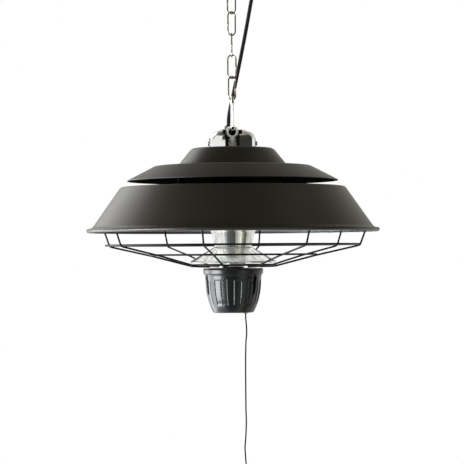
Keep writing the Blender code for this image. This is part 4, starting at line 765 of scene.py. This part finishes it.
# The top cover: a chromed steel dome over the stud, cut open in front so that the eye and nut stay in reach.
# Two screws with round heads hold it at its sides.
DOME_RADIUS = 0.0398
DOME_WALL = 0.0012
NOTCH_HALF = 0.012
NOTCH_TOP_HALF = 0.01625
NOTCH_STEP = 0.022
GLAND_PLACE = Vector((-0.0065, 0.0245, 0.0))
GLAND_HOLE = 0.0058
COVER_SCREW_RISE = 0.008
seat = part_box("top_cap")[1].z
chrome = Finish("mirror_chrome", (0.80, 0.80, 0.79), 0.06, 1.0).gloss(0.035, 0.05, 60.0, 5.0)
chrome.bump(chrome.noise(40.0, 2.0), 0.04, 0.001)
dome_line = [(0.0156, 0.0327), (0.017, 0.0327, 0.001), (0.0352, 0.0259, 0.004), (DOME_RADIUS, 0.019, 0.004),
             (DOME_RADIUS, 0.0004)]
dome = turned("chrome_cover", walled(dome_line, DOME_WALL, level=seat), 160)
for half, low in ((NOTCH_HALF, -0.004), (NOTCH_TOP_HALF, NOTCH_STEP)):
    notch = block("notch", (half * 2, 0.05, 0.045 - low), 0.0012, 4)
    cut(dome, set_in_place(notch, (0.0, -0.025, seat + (low + 0.045) / 2)))
cut(dome, set_in_place(rod("bore", GLAND_HOLE, seat + NOTCH_STEP, seat + 0.05), GLAND_PLACE))
dressed(dome, chrome, "chrome", "top_cover")
head_line = [(0.0, 0.043), (0.0026, 0.043, 0.0008), (0.0038, 0.0421, 0.0006), (0.0038, 0.0402, 0.0004),
             (0.0018, 0.0402), (0.0018, 0.0343, 0.0004), (0.0, 0.0343)]
for word, side in (("left", -1), ("right", 1)):
    head = turned(f"cover_thumb_screw_{word}", head_line, 48, closed=False)
    cut(head, set_in_place(block("slit", (0.009, 0.0009, 0.0016), 0.0001), UP * 0.043))
    set_in_place(head, UP * (seat + COVER_SCREW_RISE), (0.0, side * 90.0, 0.0))
    dressed(head, chrome, "chrome", f"cover_screw_{word}")

# The terminal box: a moulded black block behind the eye, with the cable gland and its hexagon cap on top.
GLAND_BORE = 0.00385
GLAND_NUT_RADIUS = 0.008
moulding = Finish("black_moulding", (0.0050, 0.0052, 0.0056), 0.27, Specular_Tint=(0.92, 0.97, 1.0, 1.0))
grain = moulding.noise(1600.0, 3.0)
moulding.drive("Roughness", 0.21 + 0.06 * moulding.noise(30.0, 3.0) + 0.07 * grain)
moulding.bump(grain, 0.10, 0.00012)
box_low, box_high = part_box("terminal_box")
housing = block("terminal_housing", box_high - box_low, 0.0015, 4)
set_in_place(housing, (box_low + box_high) / 2)
for level in (0.006, 0.012):
    groove = block("groove", (0.05, 0.0012, 0.0010), 0.0002)
    cut(housing, set_in_place(groove, (0.0, box_low.y, box_low.z + level)))
dressed(housing, moulding, "black_plastic", "terminal_box")
low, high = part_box("cable_gland")
gland_line = [(GLAND_BORE, high.z, 0.0006), (0.0048, high.z, 0.0008), (0.0055, high.z - 0.002, 0.0006),
              (0.0055, low.z + 0.002), (0.0065, low.z + 0.002, 0.0004), (0.0065, low.z, 0.0003),
              (GLAND_BORE, low.z)]
gland = set_in_place(turned("gland_body", gland_line, 64), GLAND_PLACE)
dressed(gland, moulding, "black_plastic", "cable_gland")
hexagon_nut("gland_cap", "gland_nut", GLAND_NUT_RADIUS, GLAND_HOLE, moulding, "black_plastic", GLAND_PLACE)

# The crown and the brim: two spun sheets in dark satin paint. The crown is a pressed cap that the stud clamps
# down on the brim, and the brim slopes to a plain edge over the vent.
SHEET = 0.0012
CROWN_TOP_RADIUS = 0.0695
CROWN_BOTTOM_RADIUS = 0.091
CROWN_FOOT_RADIUS = 0.094
CROWN_CONE_HEIGHT = 0.0264
CROWN_HEIGHT = 0.0302
BRIM_FLAT_RADIUS = 0.133
BRIM_RADIUS = 0.1804
BRIM_FALL = 0.0246
TUBE_HOLE = 0.0103


def second_finish(piece, finish, picks):
    """Another finish on the faces that a test picks."""
    piece.data.materials.append(finish.material)
    for face in piece.data.polygons:
        if picks(face):
            face.material_index = 1


crown_line = [(STUD_HOLE, 0.0), (CROWN_TOP_RADIUS, 0.0, 0.006),
              (CROWN_BOTTOM_RADIUS, -CROWN_CONE_HEIGHT, 0.0012), (0.0925, SHEET - CROWN_HEIGHT, 0.001),
              (CROWN_FOOT_RADIUS, SHEET - CROWN_HEIGHT)]
crown = turned("crown_cap", walled(crown_line, SHEET, 0.2, seat), 192)
dressed(crown, paint, "dark_paint", "top_cap")
brim_line = [(TUBE_HOLE, 0.0), (BRIM_FLAT_RADIUS, 0.0, 0.0035), (BRIM_RADIUS, -BRIM_FALL)]
brim = turned("brim_sheet", walled(brim_line, SHEET, 0.0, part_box("brim_hood")[1].z), 256)
dressed(brim, paint, "dark_paint", "brim_hood")
# Painted shade: a near-black matt finish on the brim's downward faces stands in for the shade under the brim.
painted_shade_black = Finish("matt_black_painted_shade", 0.0012, 0.8, Specular_IOR_Level=0.05).gloss(0.75, 0.1, 300.0)
second_finish(brim, painted_shade_black, lambda face: face.normal.z < -0.5)

# The main shade: one spun steel sheet with a vent ring on top, a long straight cone and a rolled rim.
SHADE_WALL = 0.0013
SHADE_RADIUS = 0.250
VENT_RADIUS = 0.112
SHOULDER_RADIUS = 0.1931
CONE_RADIUS = 0.2397
CONE_HEIGHT = 0.0666
ROLL_RADIUS = 0.0035
shade_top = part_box("main_shade")[1].z
cone_top = shade_top - 0.002
cone_foot = cone_top - CONE_HEIGHT
cone_slope = (CONE_RADIUS - SHOULDER_RADIUS) / CONE_HEIGHT
roll_centre = Vector((SHADE_RADIUS - ROLL_RADIUS, 0.0, cone_foot - 0.0052))
shade_line = [(VENT_RADIUS, shade_top), (SHOULDER_RADIUS - cone_slope * 0.002, shade_top, 0.0035),
              (CONE_RADIUS - cone_slope * 0.001, cone_foot + 0.001, 0.0015)]
shade_line += [(point.x, point.z) for point in arc(roll_centre, ROLL_RADIUS, 125.0, -100.0, 24)]
shade = turned("shade_sheet", walled(shade_line, SHADE_WALL, 0.2), 320)
dressed(shade, paint, "dark_paint", "main_shade")
enamel = Finish("grey_inner_enamel", (0.118, 0.126, 0.134), 0.42).gloss(0.36, 0.10, 90.0)
second_finish(shade, enamel, lambda face: face.center.z < cone_top and
              face.normal.x * face.center.x + face.normal.y * face.center.y < 0.0)

# The spacers and the centre tube: what clamps the lamp together inside. Four turned posts hold the brim off
# the shade, and the threaded tube draws crown, column, reflector and pot together with a nut.
SPACER_RADIUS = 0.006
TUBE_NUT_RADIUS = 0.0139
# The spacers are blackened steel, made darker still as painted shade for the dark vent gap they stand in.
blackened_steel_and_shade = Finish("blackened_steel_with_painted_shade", 0.0015, 0.6, Specular_IOR_Level=0.06).gloss(0.5, 0.2, 120.0)
for number in (1, 2, 3, 4):
    low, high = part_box(f"shade_spacer_{number}")
    middle = (low + high) / 2
    post_line = [(0.0, low.z), (SPACER_RADIUS, low.z, 0.0006), (SPACER_RADIUS, low.z + 0.004, 0.0006),
                 (0.0042, low.z + 0.006, 0.001), (0.0042, high.z - 0.006, 0.001),
                 (SPACER_RADIUS, high.z - 0.004, 0.0006), (SPACER_RADIUS, high.z, 0.0006), (0.0, high.z)]
    post = turned(f"spacer_post_{number}", post_line, 40, closed=False)
    set_in_place(post, (middle.x, middle.y, 0.0))
    dressed(post, blackened_steel_and_shade, "steel", f"shade_spacer_{number}")
refinish("centre_tube", zinc_plate)
hexagon_nut("centre_tube_nut", "tube_nut", TUBE_NUT_RADIUS, TUBE_HOLE, zinc, "zinc")

# The upper reflector: a polished aluminium dish over the lamp, with a collar round the column.
# The column under it is spun aluminium with fine turning lines, drawn in to a waist.
COLUMN_RADIUS = 0.040
WAIST_RADIUS = 0.031
aluminium = Finish("turned_aluminium", (0.86, 0.86, 0.84), 0.16, 1.0, Anisotropic=0.6,
                   Anisotropic_Rotation=0.25)
lines = aluminium.noise(1.0, 2.0, (1.0, 1.0, 900.0))
streak = aluminium.noise(1.0, 2.0, (4.0, 4.0, 160.0))
aluminium.drive("Roughness", 0.12 + 0.06 * lines + 0.04 * streak)
aluminium.drive("Base Color", aluminium.mixed(streak, (0.82, 0.82, 0.81), (0.92, 0.92, 0.90)))
aluminium.bump(lines, 0.02, 0.00004)
polished = Finish("polished_aluminium_sheet", (0.86, 0.89, 0.88), 0.1, 1.0).gloss(0.24, 0.05, 300.0)
polished.bump(polished.noise(26.0, 2.0), 0.004, 0.001)
dish_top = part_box("upper_reflector")[1].z
dish_inner = COLUMN_RADIUS + 0.0003 + SHEET
dish_line = [(dish_inner, 0.0), (dish_inner, -0.010, 0.002), (0.1173, -0.010, 0.05), (0.1745, -0.0275, 0.001),
             (0.176, -0.028)]
dish = turned("reflector_dish", walled(dish_line, SHEET, 0.2, dish_top), 192)
dressed(dish, polished, "polished_aluminium", "upper_reflector")
waist, column_top = (corner.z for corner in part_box("reflector_column"))
straight_foot = column_top - 0.106
column_line = [(TUBE_HOLE, column_top), (COLUMN_RADIUS, column_top, 0.003), (COLUMN_RADIUS, dish_top),
               (COLUMN_RADIUS, straight_foot, 0.0015), (0.037, straight_foot - 0.006, 0.0015),
               (0.033, waist + 0.004, 0.001), (WAIST_RADIUS, waist)]
column = turned("column_shell", walled(column_line, SHEET, 0.0), 192)
dressed(column, aluminium, "brushed_aluminium", "reflector_column")
kept_from_softboxes(column)
# Painted shade: the column above the dish, seen through the vent, gets the near-black finish for the shade
# there.
second_finish(column, painted_shade_black, lambda face: face.center.z > dish_top)

# The lower reflector: a polished cone under the waist that throws the heat outwards, with a turned lip.
CONE_REFLECTOR_RADIUS = 0.0734
lower_line = [(TUBE_HOLE, 0.0), (WAIST_RADIUS, 0.0, 0.0008), (CONE_REFLECTOR_RADIUS, -0.0245, 0.0012),
              (CONE_REFLECTOR_RADIUS, -0.0275)]
lower = turned("reflector_cone", walled(lower_line, SHEET, 0.2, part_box("lower_reflector")[1].z), 192)
dressed(lower, aluminium, "polished_aluminium", "lower_reflector")
kept_from_softboxes(lower)

# The halogen ring: a bent quartz tube with a coiled tungsten filament, in two ceramic caps and three spring
# clips.
LAMP_RING_RADIUS = 0.088
LAMP_TUBE_RADIUS = 0.006
LAMP_BORE = 0.0045
LAMP_GAP_DEG = 15.0
COIL_POINTS = 2600
COIL_POINTS_PER_TURN = 10
COIL_RADIUS = 0.001
COIL_WIRE = 0.00036
lamp_low, lamp_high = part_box("lamp_tube")
lamp_level = (lamp_low.z + lamp_high.z) / 2


def lamp_line(start_deg, end_deg, steps):
    """Points along the lamp's ring, in degrees from the middle of its gap at the back."""
    angles = [180.0 + start_deg + (end_deg - start_deg) * step / steps for step in range(steps + 1)]
    return [compass(angle) * LAMP_RING_RADIUS + UP * lamp_level for angle in angles]


quartz = Finish("quartz_tube", (0.97, 0.94, 0.90), 0.03, Transmission_Weight=0.9, IOR=1.46)
quartz.gloss(0.02, 0.05, 40.0)
tube_line = lamp_line(LAMP_GAP_DEG, 360.0 - LAMP_GAP_DEG, 132)
tube = wire("quartz_ring", tube_line, LAMP_TUBE_RADIUS * 2, roundness=8)
hollow_line = lamp_line(LAMP_GAP_DEG - 2.0, 362.0 - LAMP_GAP_DEG, 136)
cut(tube, wire("hollow", hollow_line, LAMP_BORE * 2, roundness=7))
dressed(tube, quartz, "quartz", "lamp_tube", smooth_deg=50.0)
tungsten = Finish("tungsten_coil", (0.25, 0.24, 0.23), 0.4, 1.0).gloss(0.3, 0.3, 400.0)
coil_curve = bpy.data.curves.new("filament_coil", "CURVE")
coil_curve.dimensions = "3D"
coil_curve.bevel_depth = COIL_WIRE / 2
coil_curve.bevel_resolution = 0
coil_curve.use_fill_caps = True
coil_spline = coil_curve.splines.new("POLY")
coil_spline.points.add(COIL_POINTS - 1)
for step, knot in enumerate(coil_spline.points):
    turn = LAMP_GAP_DEG + (360.0 - LAMP_GAP_DEG * 2) * step / (COIL_POINTS - 1)
    phase = step * math.tau / COIL_POINTS_PER_TURN
    point = compass(180.0 + turn) * (LAMP_RING_RADIUS + COIL_RADIUS * math.cos(phase))
    knot.co = (*(point + UP * (lamp_level + COIL_RADIUS * math.sin(phase))), 1.0)
coil = bpy.data.objects.new("filament_coil", coil_curve)
bpy.context.scene.collection.objects.link(coil)
chosen(coil)
bpy.ops.object.convert(target="MESH")
dressed(coil, tungsten, "tungsten", "lamp_filament", smooth_deg=60.0)
ceramic = Finish("steatite_ceramic", (0.74, 0.71, 0.64), 0.6)
speck = ceramic.noise(700.0, 4.0)
ceramic.drive("Base Color", ceramic.mixed(speck, (0.66, 0.62, 0.54), (0.80, 0.78, 0.72)))
ceramic.bump(speck, 0.2, 0.0001)
spring_steel = Finish("spring_steel", (0.50, 0.50, 0.49), 0.25, 1.0).gloss(0.18, 0.16, 200.0, 4.0)
for node in ("lamp_end_cap_1", "lamp_end_cap_2"):
    refinish(node, ceramic)
for number in (1, 2, 3):
    refinish(f"lamp_clip_{number}", spring_steel)

# The wire guard: three rings on eight bent ribs, welded where they cross and powder coated black.
# The ribs' upper ends lie inside the rim, four under small saddles, and the others run into weld pads.
GUARD_WIRE = 0.0032
GUARD_TURN_DEG = -12.4
GUARD_RIBS = 8
RING_RADII = (0.2172, 0.1418, 0.0726)
RING_DROPS = (0.0302, 0.0468, 0.0644)
WELD_OFFSET = 0.0022
RIB_END_RADIUS = 0.047
guard_black = Finish("guard_powder_coat", (0.0022, 0.0022, 0.0024), 0.4, Specular_IOR_Level=0.12)
pebble = guard_black.noise(1300.0, 2.0)
guard_black.drive("Roughness", 0.32 + 0.14 * pebble)
guard_black.bump(pebble, 0.2, 0.00012)
inset = (SHADE_WALL + 0.0003 + GUARD_WIRE / 2) * math.hypot(1.0, cone_slope) + 0.0005
wall_spots = [Vector((CONE_RADIUS - cone_slope * rise - inset, 0.0, cone_foot + rise))
              for rise in (0.016, 0.0045)]
rings = [Vector((radius, 0.0, cone_foot - drop)) for radius, drop in zip(RING_RADII, RING_DROPS)]
under = UP * WELD_OFFSET
rib_corners = [(wall_spots[0], 0.0), (wall_spots[1], 0.004), (rings[0] + RIGHT * WELD_OFFSET, 0.006),
               (rings[0] - under, 0.004), (rings[1] - under, 0.004), (rings[2] - under, 0.004),
               (Vector((RIB_END_RADIUS, 0.0, rings[2].z - WELD_OFFSET - 0.0006)), 0.0)]
rib = wire("guard_wires", eased(rib_corners, False, 6), GUARD_WIRE)
guard_parts = [rib] + [twin(rib, f"rib_{number}") for number in range(1, GUARD_RIBS)]
for number, part in enumerate(guard_parts):
    set_in_place(part, turn_deg=(0.0, 0.0, GUARD_TURN_DEG + number * 360.0 / GUARD_RIBS - 90.0))
guard_parts += [hoop("guard_ring", ring.x, GUARD_WIRE, (192, 12), UP * ring.z) for ring in rings]
for part in guard_parts:
    part.select_set(True)
bpy.context.view_layer.objects.active = rib
bpy.ops.object.join()
dressed(rib, guard_black, "black_wire", "wire_guard", smooth_deg=60.0)
for number in (1, 2, 3, 4):
    refinish(f"guard_clip_{number}", guard_black)

# The pot cover: a moulded black lid with a glossy rounded edge, on the neck that runs up to the reflector.
# The switch hangs on its two posts.
NECK_HEIGHT = 0.0346
NECK_RADIUS = 0.018
LID_HEIGHT = 0.0104
SWITCH_POST_PLACE = 0.0185
cover_low, cover_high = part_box("pot_cover")
cover_top = cover_high.z - NECK_HEIGHT
lid_line = [(TUBE_HOLE, NECK_HEIGHT), (NECK_RADIUS, NECK_HEIGHT, 0.0008), (NECK_RADIUS, 0.0, 0.004),
            (0.04, 0.0, 0.0012), (0.0408, -0.0005, 0.0004), (0.05, -0.0005, 0.0016), (0.0516, -0.003, 0.0016),
            (0.0509, 0.0008 - LID_HEIGHT, 0.0006), (0.0503, -LID_HEIGHT, 0.0004),
            (0.0463, -LID_HEIGHT, 0.0004), (0.0463, -LID_HEIGHT - 0.0037, 0.0004),
            (0.0443, -LID_HEIGHT - 0.0037, 0.0004), (0.0443, -0.0032), (TUBE_HOLE, -0.0032)]
lid = turned("pot_lid", lid_line, 160, level=cover_top)
post_line = [(0.0, cover_low.z), (0.0035, cover_low.z, 0.0003), (0.0035, cover_top - 0.001),
             (0.0, cover_top - 0.001)]
for side in (-1, 1):
    post = turned("post", post_line, 40, closed=False)
    fuse(lid, set_in_place(post, (side * SWITCH_POST_PLACE, 0.0, 0.0)))
dressed(lid, moulding, "black_plastic", "pot_cover")
second_finish(lid, zinc_plate, lambda face: face.center.z > cover_top + 0.0012)

# The pot: a moulded black body whose wall is fluted between fine ribs, with three deep channels
# for the screws that hold it to the lid.
POT_RADIUS = 0.0492
POT_WALL = 0.0024
FLUTE_COUNT = 24
FLUTE_DEPTH = 0.0013
FLUTE_TOP_SHARE = 0.13
FLUTE_FOOT_SHARE = 0.81
POT_SIDES = FLUTE_COUNT * 26
RIDGE_TURN_DEG = 2.5
RIDGE_HALF = 0.0011
CHANNEL_PLACE = 0.0482
CHANNEL_RADIUS = 0.004
CHANNEL_FOOT = 0.047
CHANNELS = [compass(angle) for angle in (51.0, 171.0, 291.0)]
CORD_PLACE = Vector((0.0205, 0.0, 0.0))
POT_PROFILE_SHARES = ((1.0, 0.0), (1.0, 0.020), (0.980, 0.037), (0.970, 0.17), (0.945, 0.415), (0.882, 0.65),
                      (0.815, 0.80), (0.778, 0.878), (0.715, 0.977), (0.680, 1.0))
pot_low, pot_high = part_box("pot_body")
pot_height = pot_high.z - pot_low.z
outside = smooth_route([(radius * POT_RADIUS, 0.0, pot_high.z - depth * pot_height)
                        for radius, depth in POT_PROFILE_SHARES[2:-1]], 8)
pot_line = [(0.0, pot_low.z), (POT_RADIUS * 0.680, pot_low.z, 0.0012)]
pot_line += [(point.x, point.z) for point in outside[::-1]]
pot_line += [(POT_RADIUS, pot_high.z - 0.0012, 0.0006), (POT_RADIUS, pot_high.z, 0.0005),
             (0.0468, pot_high.z, 0.0003), (0.0468, pot_high.z - 0.004), (0.044, pot_high.z - 0.0042)]
pot_line += [(radius * POT_RADIUS - POT_WALL - FLUTE_DEPTH, pot_high.z - depth * pot_height)
             for radius, depth in POT_PROFILE_SHARES[4:7]]
pot_line += [(0.0325, pot_low.z + POT_WALL), (0.0, pot_low.z + POT_WALL)]
pot = turned("fluted_pot", pot_line, POT_SIDES, closed=False)
for point in pot.data.vertices:
    radius = math.hypot(point.co.x, point.co.y)
    depth = (pot_high.z - point.co.z) / pot_height
    if not FLUTE_TOP_SHARE < depth < FLUTE_FOOT_SHARE:
        continue
    outer = next(a[0] + (b[0] - a[0]) * (depth - a[1]) / (b[1] - a[1])
                 for a, b in zip(POT_PROFILE_SHARES, POT_PROFILE_SHARES[1:]) if a[1] <= depth <= b[1])
    if radius < outer * POT_RADIUS - 0.0015:
        continue
    pitch = math.tau * radius / FLUTE_COUNT
    turn = (math.degrees(math.atan2(point.co.x, -point.co.y)) - RIDGE_TURN_DEG) * FLUTE_COUNT / 360.0
    away = abs(turn - round(turn)) * pitch
    ridge = max(0.0, 1.0 - (away / RIDGE_HALF) ** 2)
    fade = max(0.0, min((depth - FLUTE_TOP_SHARE) / 0.03, (FLUTE_FOOT_SHARE - depth) / 0.05, 1.0))
    sunk = FLUTE_DEPTH * 0.8 * (1.0 - ridge * ridge) * fade
    point.co.x -= point.co.x / radius * sunk
    point.co.y -= point.co.y / radius * sunk
for channel in CHANNELS:
    tool = rod("channel", CHANNEL_RADIUS, pot_high.z - CHANNEL_FOOT, pot_high.z - 0.0022, ease=0.0015)
    cut(pot, set_in_place(tool, channel * CHANNEL_PLACE))
cut(pot, set_in_place(rod("bore", 0.0033, pot_low.z - 0.003, pot_low.z + 0.005), CORD_PLACE))
dressed(pot, moulding, "black_plastic", "pot_body", smooth_deg=60.0)


def in_channel(face):
    """Whether a face of the pot is the wall of a screw channel."""
    offsets = [(face.center - channel * CHANNEL_PLACE).to_2d().length for channel in CHANNELS]
    near = any(abs(offset - CHANNEL_RADIUS) < 0.0002 for offset in offsets)
    return near and face.center.z > pot_high.z - CHANNEL_FOOT + 0.0005 and abs(face.normal.z) < 0.5


# Painted shade: the screw channels' walls get the near-black finish for the shade in these deep recesses.
second_finish(pot, painted_shade_black, in_channel)
screw_black = Finish("black_oxide_screw", (0.035, 0.035, 0.036), 0.3, 0.8).gloss(0.22, 0.2, 500.0)
for number, channel in enumerate(CHANNELS, 1):
    screw = pan_screw(f"pot_screw_{number}", 0.003, 0.002, 0.0014, 0.0008)
    set_in_place(screw, channel * (CHANNEL_PLACE - 0.0006) + UP * (pot_high.z - 0.0026))
    dressed(screw, screw_black, "zinc")

# The pull switch inside the pot: a grey moulded case with a ceramic drum that the cord turns.
grey_moulding = Finish("grey_moulding", (0.15, 0.15, 0.16), 0.5)
grey_moulding.bump(grey_moulding.noise(1200.0), 0.15, 0.0001)
refinish("switch_case", grey_moulding)
refinish("switch_drum", ceramic)

# The cord bush: a small black guide pressed into the pot's floor.
guide_line = [(0.0016, -0.0018, 0.0003), (0.003, -0.0018, 0.0008), (0.005, -0.0003, 0.0004),
              (0.003, -0.0003), (0.003, 0.004, 0.0004), (0.0016, 0.004, 0.0003)]
guide = set_in_place(turned("cord_guide", guide_line, 48), CORD_PLACE + UP * pot_low.z)
dressed(guide, moulding, "black_plastic", "cord_bush")

# The pull cord and its knob: a braided 2.4 mm cord that keeps the kinks of its packing, with a bell-shaped
# knob on its end.
CORD_DIAMETER = 0.0024
CORD_TAIL = (
    (0.0205, 0.0000, -0.0010), (0.0208, 0.0000, -0.0110), (0.0218, 0.0002, -0.0230),
    (0.0221, 0.0004, -0.0365), (0.0208, 0.0004, -0.0510), (0.0200, 0.0002, -0.0810),
    (0.0199, 0.0000, -0.1210), (0.0200, -0.0002, -0.1630), (0.0205, 0.0000, -0.1880),
    (0.0193, 0.0002, -0.2140), (0.0180, 0.0003, -0.2300), (0.0188, 0.0002, -0.2470),
    (0.0199, 0.0000, -0.2610), (0.0202, 0.0000, -0.2710), (0.0202, 0.0000, -0.2790),
)
KNOB_RADIUS = 0.0085
cord_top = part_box("pull_cord")[1].z
tail = [Vector((x, y, pot_low.z + z)) for x, y, z in CORD_TAIL]
cord_line = smooth_route([CORD_PLACE + UP * cord_top, CORD_PLACE + UP * (cord_top + pot_low.z) / 2] + tail)
cord_length = run_length(cord_line)
cord_path = even_points(cord_line, 0.0, cord_length, 240)
cord = wire("braided_cord", cord_path, CORD_DIAMETER)
braid = Finish("black_braid", 0.002, 0.85, Specular_IOR_Level=0.03)
strands = braid.node("ShaderNodeTexWave", {"wave_type": "BANDS", "bands_direction": "DIAGONAL"},
                     {"Vector": braid.place, "Scale": 420.0, "Distortion": 2.0})
braid.drive("Base Color", braid.mixed(strands, 0.001, 0.004))
braid.bump(strands + 0.4 * braid.noise(2600.0, 2.0), 0.5, 0.0002)
dressed(cord, braid, "cord_yarn", "pull_cord", body="pull", smooth_deg=60.0)
knob_low, knob_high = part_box("pull_knob")
knob_foot = knob_low.z - knob_high.z
bore_foot = tail[-1].z - 0.0003 - knob_high.z
knob_line = [(0.0016, 0.0, 0.0003), (0.0032, 0.0, 0.0008), (0.0034, -0.004, 0.001), (0.005, -0.0075, 0.003),
             (0.008, -0.015, 0.005), (KNOB_RADIUS, knob_foot + 0.006, 0.004),
             (KNOB_RADIUS, knob_foot + 0.0016, 0.0008), (0.007, knob_foot, 0.0008), (0.0, knob_foot),
             (0.0, bore_foot), (0.0016, bore_foot)]
knob = turned("bell_knob", knob_line, 64, level=knob_high.z)
set_in_place(knob, (tail[-1].x, tail[-1].y, 0.0))
dressed(knob, moulding, "black_plastic", "pull_knob", body="pull")

deselect()
